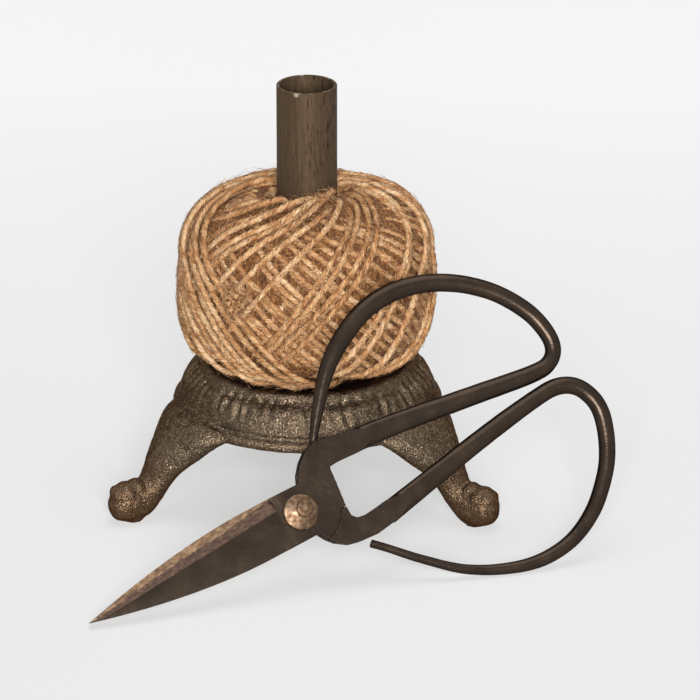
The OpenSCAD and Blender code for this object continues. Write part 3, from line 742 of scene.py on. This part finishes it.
FRONT_HEEL = [
    (3.3, 9), (4.8, 12.1), (7.7, 15.5), (11.2, 18.2), (15.1, 19.6), (30, 17.4), (42, 12),
    (30, 8.8), (20, 9.3), (16.3, 9), (15.55, 1)]
REAR_HEEL = [
    (1.3, -10.2), (3.2, -13.4), (5.6, -16), (9.9, -18.9), (14.1, -19.8), (20.6, -20.3),
    (31, -18.9), (44, -12.8), (31, -11), (20.5, -12.2), (16.6, -11.6), (15.1, -10),
    (14.95, -6.25), (12.8, -6.1)]
FRONT_LAP = [(14.9, -6.1)] + lap_arc(-25.4, -75.5) + [
    (3.2, -13.3), (1.3, -10.4), (-12, -10.4), (-12, 3.4), (-8.95, 3.4), (-8.95, 9.2)]
REAR_LAP = [(14.7, -6.25), (14.9, -4.6), (13.9, -3.2)] + lap_arc(-12, 67) + [
    (4.5, 11.6), (3.2, 8.7), (-12, 8.7), (-12, -3.4), (-8.95, -3.4), (-8.95, -9.9)]
FRONT_HANDLE = [
    (26, 13.4, 4.4), (47, 11.6, 3.9), (76, 7.7, 3.6), (101, 4.4, 3.3), (109.2, 5.2, 3),
    (113.2, 9.6, 3), (113.4, 17, 3.1), (110.4, 26.2, 3.2), (103, 37, 3.2), (92.6, 45.8, 3.3),
    (81, 51.6, 3.4), (68.6, 54.2, 3.5), (56, 53, 3.5), (43.4, 47.6, 3.4), (33, 40.2, 2.9),
    (24.6, 31, 2.3), (18.4, 23.2, 1.7), (16.2, 20.2, 1.5), (15.6, 19.2, 1.4)]
REAR_HANDLE = [
    (28, -15.6, 4.1), (52, -11.3, 3.7), (76, -7.1, 3.5), (99, -4, 3.2), (108.4, -4.2, 3.2),
    (114.6, -8, 3.2), (117.7, -15.2, 3.2), (117.1, -23, 3.2), (113, -33, 3.1), (107, -41.2, 3),
    (97, -50, 2.9), (84.6, -55.6, 2.7), (71, -56.6, 2.5), (57.6, -53.2, 2.1), (44, -46.4, 1.8),
    (32, -36.4, 1.6), (22, -26.6, 1.5), (17.2, -22.2, 1.5)]
print("handles have", len(FRONT_HANDLE), "and", len(REAR_HANDLE), "points")

# %% [markdown]
# ## Scissors: heels, shanks and bows
# The shank starts as a flat bar with rounded corners and becomes round, which a superellipse
# does with one number: near 4 it is a rounded square, and at 2 a circle. Heel, shank and bow are
# fused, because on the real half they are one bar of steel, drawn out under the hammer.

# %% Heels, shanks and bows
def outside_lap(outline):
    flat = np.asarray(outline, float)
    fine = np.concatenate([
        np.linspace(a, b, 40, endpoint=False) for a, b in zip(flat, np.roll(flat, -1, 0))])
    outer = np.linalg.norm(fine, axis=1) >= LAP_R
    first = np.flatnonzero(outer & ~np.roll(outer, 1))[0]
    run = np.roll(fine, -first, 0)[np.roll(outer, -first)]
    ends = np.unwrap(np.arctan2(run[[-1, 0], 1], run[[-1, 0], 0]))
    arc = np.linspace(ends[0], ends[1], 14)[1:-1]
    return np.vstack([run, (LAP_R + ARC_GAP) * np.column_stack([np.cos(arc), np.sin(arc)])])


def handle(points):
    line = smooth_line(points, 9)
    ahead = np.gradient(line[:, :2], axis=0)
    ahead /= np.linalg.norm(ahead, axis=1, keepdims=True)
    angle = -np.linspace(0, 2 * np.pi, 28, endpoint=False)[None]
    run = np.linspace(0, 1, len(line))[:, None]
    power = 2 / (2 + 2.2 * np.clip(1 - run / 0.1, 0, 1))
    half_deep = np.minimum(line[:, 2:3], SHANK / 2)
    wide = np.sign(np.cos(angle)) * np.abs(np.cos(angle)) ** power * line[:, 2:3]
    deep = np.sign(np.sin(angle)) * np.abs(np.sin(angle)) ** power * half_deep
    return skin(np.stack([
        line[:, :1] - ahead[:, 1:] * wide, line[:, 1:2] + ahead[:, :1] * wide, deep], -1))


def scissor_half(name, heel, lap, line, side, cut, spine, tip_in, body, node):
    body_shells = [
        slab(heel + lap, *sorted((side * LAP_GAP / 2, side * SHANK / 2))),
        slab(outside_lap(heel), -SHANK / 2, SHANK / 2), handle(line)]
    points, faces = fused(body_shells, 0.28, 1)
    dents = 0.05 * waves(points, 5.0, side * 3.0) + 0.02 * waves(points, 1.6, side)
    points = points + out_of(points, faces) * dents[:, None]
    (blade_points, blade_faces), edge = blade(cut, spine, tip_in)
    blade_points = blade_points * (1, side, side)
    points, all_faces = joined([(points, faces), (blade_points, blade_faces)])
    piece = make_piece(
        name, (leaned(points), all_faces), body, [forged_steel, ground_steel],
        [node], 28)
    return piece, blade_points, edge


front, front_blade, front_edge = scissor_half(
    "scissors_upper_half", FRONT_HEEL, FRONT_LAP, FRONT_HANDLE, 1, 9.2, 10.4, 0.0, "front_half",
    "scissors_front")
rear, rear_blade, rear_edge = scissor_half(
    "scissors_lower_half", REAR_HEEL, REAR_LAP, REAR_HANDLE, -1, 9.9, 8.7, 0.5, "rear_half",
    "scissors_rear")

# %% [markdown]
# The bevels take the ground finish. Which faces they are is read from the blade itself: the
# value `edge` is set on the points of the blade, and a face belongs to the bevel where it looks
# out at a slant. The rest of the half keeps the black skin.

# %% Bevels
SLANT_FROM, SLANT_TO = 0.3, 0.985


def grind(piece, blade_points, edge, side):
    mesh = piece.data
    spots = {tuple(np.round(p, 3)): value for p, value in zip(leaned(blade_points), edge)}
    values = np.array([
        spots.get(tuple(np.round(np.array(v.co) / MM, 3)), -1) for v in mesh.vertices])
    mesh.attributes.new("edge", "FLOAT", "POINT").data.foreach_set(
        "value", np.clip(values, 0, 1).astype(np.float32))
    facing = leaned([(0, 0, side)])[0] - leaned([(0, 0, 0)])[0]
    ground = 0
    for face in mesh.polygons:
        around = values[list(face.vertices)]
        slant = float(np.dot(face.normal, facing))
        if around.min() >= 0 and SLANT_FROM < slant < SLANT_TO:
            face.material_index = 1
            ground += 1
    print(piece.name, "has", ground, "ground faces")


grind(front, front_blade, front_edge, 1)
grind(rear, rear_blade, rear_edge, -1)

# %% [markdown]
# ## Rivet and washers
# The halves turn on a rivet whose ends are hammered over domed washers. Each washer has slipped
# a little off the rivet's centre, as the front one has in the photograph. The dome is turned, and
# noise gives it hammer marks that catch the light one by one.

# %% Rivet and washers
WASHER_R, WASHER_RIM, WASHER_RISE = 6.65, 0.7, 2.6
RIVET_R, HEAD_R, HEAD_H, TURN_GAP = 2.6, 3.1, 1.1, 0.1
SOFT_EDGE, HEAD_SUNK = 0.25, 0.25
SHIFT = np.array((-1.3, -0.5, 0))


def hammered(points, size, depth, shift):
    return points + depth * np.column_stack([waves(points, size, shift + k) for k in (0, 5, 9)])


r = np.linspace(AXIS_R, WASHER_R - SOFT_EDGE, 24)
dome = WASHER_RIM + 0.35 + (WASHER_RISE - WASHER_RIM - 0.35) * (1 - (r / WASHER_R) ** 1.8)
washer_profile = [(AXIS_R, 0)] + list(zip(r, dome)) + [(WASHER_R, WASHER_RIM), (WASHER_R, 0)]
washer_points, washer_faces = turned(washer_profile, 96)
washer_points = hammered(washer_points, 2.6, 0.16, 0.0)
washer_points[:, 2] = np.clip(washer_points[:, 2], 0, WASHER_RISE)
for side, name, node in (
        (1, "front_washer", "front_rivet_washer"), (-1, "rear_washer", "rear_rivet_washer")):
    lift = SHANK / 2 + (TURN_GAP if side < 0 else 0)
    local = (washer_points + SHIFT + (0, 0, lift)) * (1, 1, side)
    make_piece(name, (leaned(local), washer_faces), "front_half", [aged_brass], [node], 50)

r = np.linspace(AXIS_R, HEAD_R - SOFT_EDGE, 8)
head_top = HEAD_H * (1 - 0.22 * (r / HEAD_R) ** 2)
head_z = SHANK / 2 + WASHER_RISE
top = [(x, head_z + h - HEAD_SUNK) for x, h in zip(r, head_top)]
side_line = [
    (HEAD_R - 0.05, head_z + 0.42), (HEAD_R, head_z - HEAD_SUNK), (RIVET_R, head_z - HEAD_SUNK)]
low = [(x, -z - TURN_GAP) for x, z in (top + side_line)[::-1]]
rivet_points, rivet_faces = turned(top + side_line + low, 72)
rivet_points = hammered(rivet_points, 1.9, 0.1, 3.0)
make_piece(
    "rivet", (leaned(rivet_points), rivet_faces), "front_half", [aged_brass],
    ["pivot_rivet"], 45)

# %% [markdown]
# ## Ball of twine: the winding
# A ball is wound in slanted loops that pass close to the hole at the top, go under the ball and
# come up again, each a little further round than the one before. Half of each loop therefore
# rises to the right and half falls, and where the winding stopped the two families of strands
# meet in a V. Five rounds of loops are laid here, and each strand is told how deep it lies: the
# newest at the skin, and every older one below what already crosses it. Laying them from the
# outside in keeps the ball's outline exact, which stacking them from the inside would not.
# A strand climbs the side at forty to fifty degrees, held by its own roughness, and on the top
# it straightens into a line that just passes the hole.
# `settled` then lets the ball lean a little and rise in front of the tube, as in the photograph,
# and draws it in by 0.6 mm at the height where the scissors lean, so that it can turn past them.

# %% Loops of twine
BALL_R, BALL_MID = 48.2, 81.8
UPPER_H, UPPER_SQUARE, LOWER_H, LOWER_SQUARE = 36.0, 3.5, 33.0, 3.8
BALL_LEAN, TOP_LIFT, SIDE_GAP, BALL_X = 0.015, 3.6, 3.2, -0.2
BOW_Z, BOW_WIDTH, PRESSED = 91.5, 4.5, 0.62
LOOPS, LOOP_POINTS = 31, 300
ROUND_STARTS = (0, 0.5, 0.25, 0.75, 0.1)
LAYER, SQUEEZE, DEEPEST = 1.6, 4.4, 8.0
LAST_STRAND = math.radians(-121.5)
HOLE_EDGE, RISE, FALL = 12.6, 50.0, 43.0
HOLE_DRIFT, SLOPE_DRIFT, STEP_DRIFT, SIDE_SWAY, UP_SWAY = 0.7, 1.5, 0.16, 0.010, 0.008
chance = np.random.default_rng(11)


def barrel(polar, inset):
    s, c = np.sin(polar), np.cos(polar)
    square = np.where(c > 0, UPPER_SQUARE, LOWER_SQUARE)
    fit = (s ** square + np.abs(c) ** square) ** (-1 / square)
    return (BALL_R - inset) * fit * s, (np.where(c > 0, UPPER_H, LOWER_H) - inset) * fit * c


def settled(points):
    x, y, z = points.T
    r = np.maximum(np.hypot(x, y), 1)
    at_hole = np.clip((30 - r) / 16, 0, 1) * np.clip((z - BALL_MID - 20) / 12, 0, 1)
    lift = TOP_LIFT * at_hole * (0.55 - 0.45 * y / r) + BALL_LEAN * x
    wide = 1 + SIDE_GAP / r * at_hole * np.clip(-x / r, 0, 1) ** 2
    wide -= PRESSED / r * np.exp(-((z - BOW_Z) / BOW_WIDTH) ** 2)
    return np.column_stack([x * wide + BALL_X * (1 - at_hole), y * wide, z + lift])


def loop_route(number):
    a = np.linspace(-0.5, 1.5, LOOP_POINTS + 1) * np.pi
    hole = HOLE_EDGE + abs(chance.normal(0, HOLE_DRIFT))
    near_hole = np.linspace(0.1, 1.4, 200)
    top, bottom = (
        np.interp(hole, barrel(p, TWINE_R)[0], near_hole) for p in (near_hole, np.pi - near_hole))
    highest = np.where((a >= 0) & (a < np.pi), top, bottom)
    polar = np.pi / 2 - (np.pi / 2 - highest) * np.sin(a)
    r, z = barrel(polar, TWINE_R)
    mid_r, mid_a = (r[1:] + r[:-1]) / 2, (a[1:] + a[:-1]) / 2
    slope = np.where(np.cos(mid_a) > 0, RISE, FALL) + chance.normal(0, SLOPE_DRIFT)
    climb = np.minimum(np.radians(slope), np.arccos(np.clip(hole / mid_r, 0, 0.9999)))
    turn = np.hypot(np.diff(r), np.diff(z)) / np.tan(climb) / mid_r
    lon = np.concatenate([[0], np.cumsum(turn)])[:-1]
    a, lat = a[:-1], np.pi / 2 - polar[:-1]
    step = 2 * np.pi / LOOPS
    lon = lon - lon[LOOP_POINTS * 3 // 4] + LAST_STRAND - number * step
    lon = lon + chance.normal(0, STEP_DRIFT) * step
    for sways in (2, 3, 5):
        sway = SIDE_SWAY * np.sin(sways * a + chance.uniform(0, 6.3))
        lon = lon + sway / np.maximum(np.cos(lat), 0.35)
        lat = lat + UP_SWAY * np.sin(sways * a + chance.uniform(0, 6.3)) * np.cos(lat)
    return lon, np.pi / 2 - lat


routes = [loop_route(number + start) for start in ROUND_STARTS for number in range(LOOPS)]
print(len(routes), "loops of twine")

# %% [markdown]
# ## Ball of twine: which strand lies over which
# A map of the ball's skin holds how deep the next strand has to go at each spot. A half loop
# reads the map under its own width, takes the deepest value for some way before and behind,
# since taut twine can't dip between two crossings, and then writes itself in. The newest half
# loops come first. The falling strands of two rounds lie next to each other, so that they show
# twice as close as the rising ones, like rungs between rails.

# %% Depths of the strands
MAP_LON, MAP_POLAR = 720, 360
TAUT, EASED, SMOOTHED = 6, 5, 4
polar_line = (np.arange(MAP_POLAR) + 0.5) * np.pi / MAP_POLAR
line_r, line_z = barrel(polar_line, TWINE_R)
polar_rate = np.hypot(np.gradient(line_r), np.gradient(line_z)) * MAP_POLAR / np.pi
depth_map = np.zeros((MAP_LON, MAP_POLAR))
disc = [(0, 0)] + [
    (far * math.cos(k * math.pi / 4), far * math.sin(k * math.pi / 4))
    for far in (0.45, 0.85) for k in range(8)]


def cells(lon, polar):
    row = np.clip((polar / np.pi * MAP_POLAR).astype(int), 0, MAP_POLAR - 1)
    rows = np.clip(row[:, None] + np.array([[dy for _, dy in disc]]) / polar_rate[row][:, None]
                   * MAP_POLAR / np.pi, 0, MAP_POLAR - 1).astype(int)
    shift = np.array([[dx for dx, _ in disc]]) / np.maximum(line_r[row], 4)[:, None]
    columns = ((lon[:, None] + shift) / (2 * np.pi) * MAP_LON).astype(int) % MAP_LON
    return columns, rows


def spread(values, reach, pick):
    padded = np.pad(values, reach, mode="edge")
    windows = np.lib.stride_tricks.sliding_window_view(padded, 2 * reach + 1)
    return pick(windows, axis=-1)


half = LOOP_POINTS // 2
halves = []
for number in range(len(routes)):
    round_, age = number // LOOPS, (number % LOOPS) * 2 * math.pi / LOOPS
    for falling in (0, 1):
        layer = max(round_ - 1, 0) if falling else round_
        halves.append((age + 2 * math.pi * layer + 0.001 * round_, number, falling))
depths = np.zeros((len(routes), LOOP_POINTS))
for _, number, falling in sorted(halves):
    part = slice(falling * half, falling * half + half)
    where = cells(routes[number][0][part], routes[number][1][part])
    raw = depth_map[where].max(axis=1)
    depth = spread(spread(raw, TAUT, np.max), EASED, np.mean)
    depths[number, part] = depth
    np.maximum.at(depth_map, where, (depth + LAYER)[:, None] + np.zeros(where[0].shape))
depths = np.array([spread(row, SMOOTHED, np.mean) for row in depths])
print("share of twine that shows:", round(float((depths < DEEPEST).mean()), 2))

# %% [markdown]
# ## Ball of twine: the twine itself
# Each strand is three plies twisted together, so its section is a soft trefoil that turns as it
# goes, once in 9 mm. The deeper a strand lies, the more the layers over it have squeezed it up
# against its neighbours. Only what can be seen is made: below about five layers a strand stops,
# except on the ball's top. The values `fibre` and `tone` go with each point for the jute finish.

# %% Twine mesh
PLY_PITCH, SIDES = 9.0, 9
LOBES = np.array([1.1, 0.92, 0.92] * 3)
SWELL, SWELL_LENGTH, UNEVEN = 0.07, 11, 0.045
TOP_FROM, FIBRES_ABOVE, SHORTEST, FRESH_PATTERN = 22, 6.0, 5, 400
around = np.arange(SIDES) * 2 * np.pi / SIDES
strand_points, strand_faces, fibre_values, tone_values, roots = [], [], [], [], []
made, laid, meshed = 0, 0.0, 0.0
for number, (lon, polar) in enumerate(routes):
    r, z = barrel(polar, TWINE_R + SQUEEZE * (1 - np.exp(-depths[number] / SQUEEZE)))
    spot = settled(np.column_stack([r * np.cos(lon), r * np.sin(lon), z + BALL_MID]))
    ahead = np.gradient(spot, axis=0)
    length = np.concatenate([[0], np.cumsum(np.linalg.norm(np.diff(spot, axis=0), axis=1))])
    laid += length[-1] * MM
    ahead /= np.linalg.norm(ahead, axis=1, keepdims=True)
    outward = spot - (0, 0, BALL_MID)
    across = np.cross(ahead, outward)
    across /= np.linalg.norm(across, axis=1, keepdims=True)
    upward = np.cross(across, ahead)
    angle = (length / PLY_PITCH * 2 * np.pi)[:, None] + around
    swell = 1 + SWELL * np.sin(length / SWELL_LENGTH + number)[:, None]
    rough = LOBES + chance.normal(0, UNEVEN, angle.shape)
    ring = spot[:, None] + TWINE_R * swell[..., None] * rough[..., None] * (
        np.cos(angle)[..., None] * across[:, None] + np.sin(angle)[..., None] * upward[:, None])
    shown = (depths[number] < DEEPEST) | (z > TOP_FROM)
    ends = np.flatnonzero(np.diff(np.concatenate([[0], shown.astype(int), [0]])))
    tone_here = chance.uniform(-1, 1)
    for start, stop in zip(ends[::2], ends[1::2]):
        count = stop - start
        if count < SHORTEST:
            continue
        meshed += (length[stop - 1] - length[start]) * MM
        points, faces = skin(ring[start:stop])
        strand_points.append(points)
        strand_faces += (np.array(faces[:-2]) + made).tolist()
        strand_faces += [[v + made for v in cap] for cap in faces[-2:]]
        made += len(points)
        fibre_values.append(np.stack([
            np.tile(np.cos(around), count), np.tile(np.sin(around), count),
            np.repeat(length[start:stop] + FRESH_PATTERN * number, SIDES)], -1))
        tone_values.append(np.full(len(points), tone_here))
        top = depths[number][start:stop] < FIBRES_ABOVE
        roots.append(np.concatenate([
            spot[start:stop][top], outward[start:stop][top], ahead[start:stop][top]], axis=1))

twine = make_piece(
    "twine", (np.vstack(strand_points), strand_faces), "ball", [jute], ["twine_winding"])
twine.data.attributes.new("fibre", "FLOAT_VECTOR", "POINT").data.foreach_set(
    "vector", np.vstack(fibre_values).astype(np.float32).ravel())
twine.data.attributes.new("tone", "FLOAT", "POINT").data.foreach_set(
    "value", np.concatenate(tone_values).astype(np.float32))
print("loops add up to", round(laid, 1), "m, of which", round(meshed, 1), "m are meshed")

# %% [markdown]
# ## Ball of twine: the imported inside
# Under the strands lies the rest of the ball. It is turned from the same barrel, set in by a
# little less than the deepest strand, with the hole for the tube down its middle. It is fuller
# at the shoulder, where the strands bridge from the side to the top.

# %% Packed inside
CORE_IN, HOLE_R = 3.6, 12.7
FULLER, SHOULDER_AT, SHOULDER_WIDTH = 0.7, 0.8, 0.35
polar = np.linspace(math.radians(17), math.radians(163), 60)
fuller = FULLER * np.exp(-((polar - SHOULDER_AT) / SHOULDER_WIDTH) ** 2)
core_r, core_z = barrel(polar, CORE_IN - fuller)
top_z = UPPER_H - 3.4
profile = [(HOLE_R, top_z - 1.0), (HOLE_R + 1.0, top_z)] + [
    (max(x, HOLE_R + 1.2), z) for x, z in zip(core_r, core_z)] + [(HOLE_R, 2.6 - LOWER_H)]
points, faces = turned(profile, 200)
points = settled(points + (0, 0, BALL_MID))
points[:, :2] *= np.maximum(1, HOLE_R / np.maximum(np.hypot(*points[:, :2].T), 1))[:, None]
make_piece("packed_twine", (points, faces), "ball", [shaded_packed_jute], ["twine_core"], 60)

# %% [markdown]
# ## Loose fibres
# Jute sheds: thousands of single fibres stand off the strands, most of them lying along the
# twine. Each is a thin three-sided tube of four rings that leaves a strand and bends over. They
# are drawn two to five times as thick as real fibres, which would vanish in the picture. Where
# the scissors lean they are pressed flat.

# %% Fibres along the strands
FIBRES, BOW_FREE, BOW_CURVE = 24000, 47.6, 0.033
RINGS, CORNERS, TIP_SHARE = 4, 3, 0.45
SKEW = np.array((0.31, 0.62, 0.72))
all_roots = np.vstack(roots)
picked = all_roots[chance.choice(len(all_roots), FIBRES)]


def fibre_tubes(start, first, bend, length, radius):
    steps = np.linspace(0, 1, RINGS)[None, :, None]
    curve = first[:, None] * steps + bend[:, None] * steps ** 2
    line = start[:, None] + length[:, None, None] * curve
    reach = np.hypot(line[..., 0], line[..., 1])
    free = BOW_FREE + BOW_CURVE * (line[..., 2] - BOW_Z) ** 2
    line[..., :2] *= np.minimum(1, free / reach)[..., None]
    ahead = np.gradient(line, axis=1)
    ahead /= np.linalg.norm(ahead, axis=2, keepdims=True)
    side = np.cross(ahead, SKEW)
    side /= np.maximum(np.linalg.norm(side, axis=2, keepdims=True), 1e-6)
    other = np.cross(ahead, side)
    thin = np.reshape(radius, (-1, 1, 1, 1)) * np.linspace(1, TIP_SHARE, RINGS)[:, None, None]
    angle = np.arange(CORNERS)[:, None] * 2 * np.pi / CORNERS
    rings = line[:, :, None] + thin * (
        np.cos(angle) * side[:, :, None] + np.sin(angle) * other[:, :, None])
    return [skin(ring) for ring in rings]


outward = picked[:, 3:6] / np.linalg.norm(picked[:, 3:6], axis=1, keepdims=True)
along = picked[:, 6:9] * chance.choice((-1, 1), FIBRES)[:, None]
spin = chance.normal(0, 1, (FIBRES, 3))
spin -= outward * (spin * outward).sum(axis=1, keepdims=True)
sideways = np.cross(along, outward) * chance.normal(0, 0.6, FIBRES)[:, None]
first = along * 0.8 + sideways + outward * (chance.uniform(0, 0.6, FIBRES) ** 2)[:, None]
tubes = fibre_tubes(
    picked[:, :3] + 0.85 * TWINE_R * outward, first, 0.4 * spin - 0.2 * outward,
    chance.uniform(1.5, 4.5, FIBRES), chance.uniform(0.05, 0.13, FIBRES))
print(len(tubes), "fibres along the strands")

# %% [markdown]
# A frayed tuft lies where the winding ended, fanned out to one side, and ninety more fibres curl
# in the gap beside the tube. All fibres then become one piece, because one mesh of many small
# tubes loads faster than many objects.

# %% Tuft and hole
TUFT, TUFT_FIBRES = np.array((-27.5, -39.0, 88.0)), 600
tuft_out = TUFT * (1, 1, 0) / np.linalg.norm(TUFT[:2])
tuft_right = np.array((-tuft_out[1], tuft_out[0], 0))
fan = chance.normal(0, 0.75, (TUFT_FIBRES, 1))
start = TUFT + chance.normal(0, 0.9, (TUFT_FIBRES, 3)) - 0.1 * tuft_out
first = np.cos(fan) * tuft_right + np.sin(fan) * (0, 0, 1)
first = first + chance.uniform(0.1, 0.5, (TUFT_FIBRES, 1)) * tuft_out
tubes += fibre_tubes(
    start, first, 0.25 * chance.normal(0, 1, (TUFT_FIBRES, 3)) - 0.4 * tuft_out,
    chance.uniform(4.0, 9.0, TUFT_FIBRES), 0.08)

HOLE_FIBRES, CURL_R = 90, 14.2
angle = chance.normal(math.radians(195), 0.5, HOLE_FIBRES)
start = np.column_stack([
    CURL_R * np.cos(angle) - 1.0, CURL_R * np.sin(angle), chance.uniform(112, 115.5, HOLE_FIBRES)])
first = chance.normal(0, 0.55, (HOLE_FIBRES, 3)) + (0, -0.2, 0.35)
tubes += fibre_tubes(
    start, first, 0.5 * chance.normal(0, 1, (HOLE_FIBRES, 3)) - (0, 0, 0.3),
    chance.uniform(2.0, 4.5, HOLE_FIBRES), 0.07)
make_piece("loose_fibres", joined(tubes), "ball", [loose_jute])

# %% [markdown]
# ## Floor
# The picture was taken on a seamless pale sweep under large soft lamps. A wide floor does for
# the sweep, because the camera looks down and never meets its edge. In such a studio the sweep
# is lit by lamps of its own, which thins the shadows: rather more than half of what is seen of
# the floor is its own pale colour, and the rest is what the lamps and the object's shadow make of
# it. That colour is palest and its share is largest far away, nearer to the sweep's own lamps.

# %% Floor
FLOOR_HALF, FLOOR_DROP = 4, 0.00005


def seen_rays(tree):
    ray = add_node(tree, "LightPath").outputs
    seen = ray["Is Camera Ray"]
    for kind in ("Is Glossy Ray", "Is Transmission Ray"):
        seen = add_node(tree, "Math", {"operation": "MAXIMUM"}, {0: seen, 1: ray[kind]}).outputs[0]
    return seen


pale_floor, tree = new_finish("pale_sweep")
place = add_node(tree, "TexCoord").outputs["Object"]
away = add_node(tree, "MapRange", inputs={
    "Value": add_node(tree, "SeparateXYZ", inputs={0: place}).outputs["Y"],
    "From Min": -0.3, "From Max": 0.45}).outputs["Result"]
colour = add_node(tree, "ValToRGB", inputs={"Fac": away}, stops=[
    (0.0, "#EDEDED"), (0.5, "#F8F8F8"), (1.0, "#FFFFFF")]).outputs["Color"]
shadowed = add_node(tree, "BsdfDiffuse", inputs={"Color": colour}).outputs["BSDF"]
own_light = add_node(tree, "Emission", inputs={"Color": colour}).outputs["Emission"]
paler = add_node(tree, "MapRange", inputs={
    "Value": away, "From Min": 0.45, "To Min": 0.56, "To Max": 0.82}).outputs["Result"]
share = add_node(tree, "Math", {"operation": "MULTIPLY"}, {
    0: seen_rays(tree), 1: paler}).outputs[0]
surface = add_node(tree, "MixShader", inputs={0: share, 1: shadowed, 2: own_light}).outputs[0]
add_node(tree, "OutputMaterial", inputs={"Surface": surface})
mesh = bpy.data.meshes.new("floor")
mesh.from_pydata([
    (x * FLOOR_HALF, y * FLOOR_HALF, -FLOOR_DROP)
    for x, y in ((-1, -1), (1, -1), (1, 1), (-1, 1))], [], [(0, 1, 2, 3)])
mesh.materials.append(pale_floor)
floor = bpy.data.objects.new("floor", mesh)
scene.collection.objects.link(floor)
print("floor is", 2 * FLOOR_HALF, "m wide")

# %% [markdown]
# ## Light
# The main lamp stands close to the camera, so the ball is lightest in the middle, and a wide weak
# one overhead lights its top. They are set so that a colour renders about as it is written. The
# room is dim for what it lights and pale for what is seen of it, so that metal mirrors a studio.

# %% Light
LAMPS_AIM = Vector((0, 0, 0.06))
for name, place, size, power in (
        ("front", (0.12, -1.5, 0.62), 0.5, 27.0),
        ("overhead", (0.1, 0.1, 1.4), 1.2, 8.5)):
    lamp = bpy.data.lights.new(name, "AREA")
    lamp.shape, lamp.size, lamp.energy = "SQUARE", size, power
    lamp_object = bpy.data.objects.new(name, lamp)
    lamp_object.location = place
    lamp_object.rotation_euler = (LAMPS_AIM - Vector(place)).to_track_quat("-Z", "Y").to_euler()
    scene.collection.objects.link(lamp_object)

world = bpy.data.worlds.new("pale_room")
world.use_nodes = True
tree = world.node_tree
tree.nodes.clear()
strength = add_node(tree, "MapRange", inputs={
    "Value": seen_rays(tree), "To Min": 0.06, "To Max": 0.88}).outputs["Result"]
sky = add_node(tree, "Background", inputs={"Color": linear("#FFFFFF"), "Strength": strength})
add_node(tree, "OutputWorld", inputs={"Surface": sky.outputs["Background"]})
scene.world = world
scene.view_settings.view_transform = "Standard"
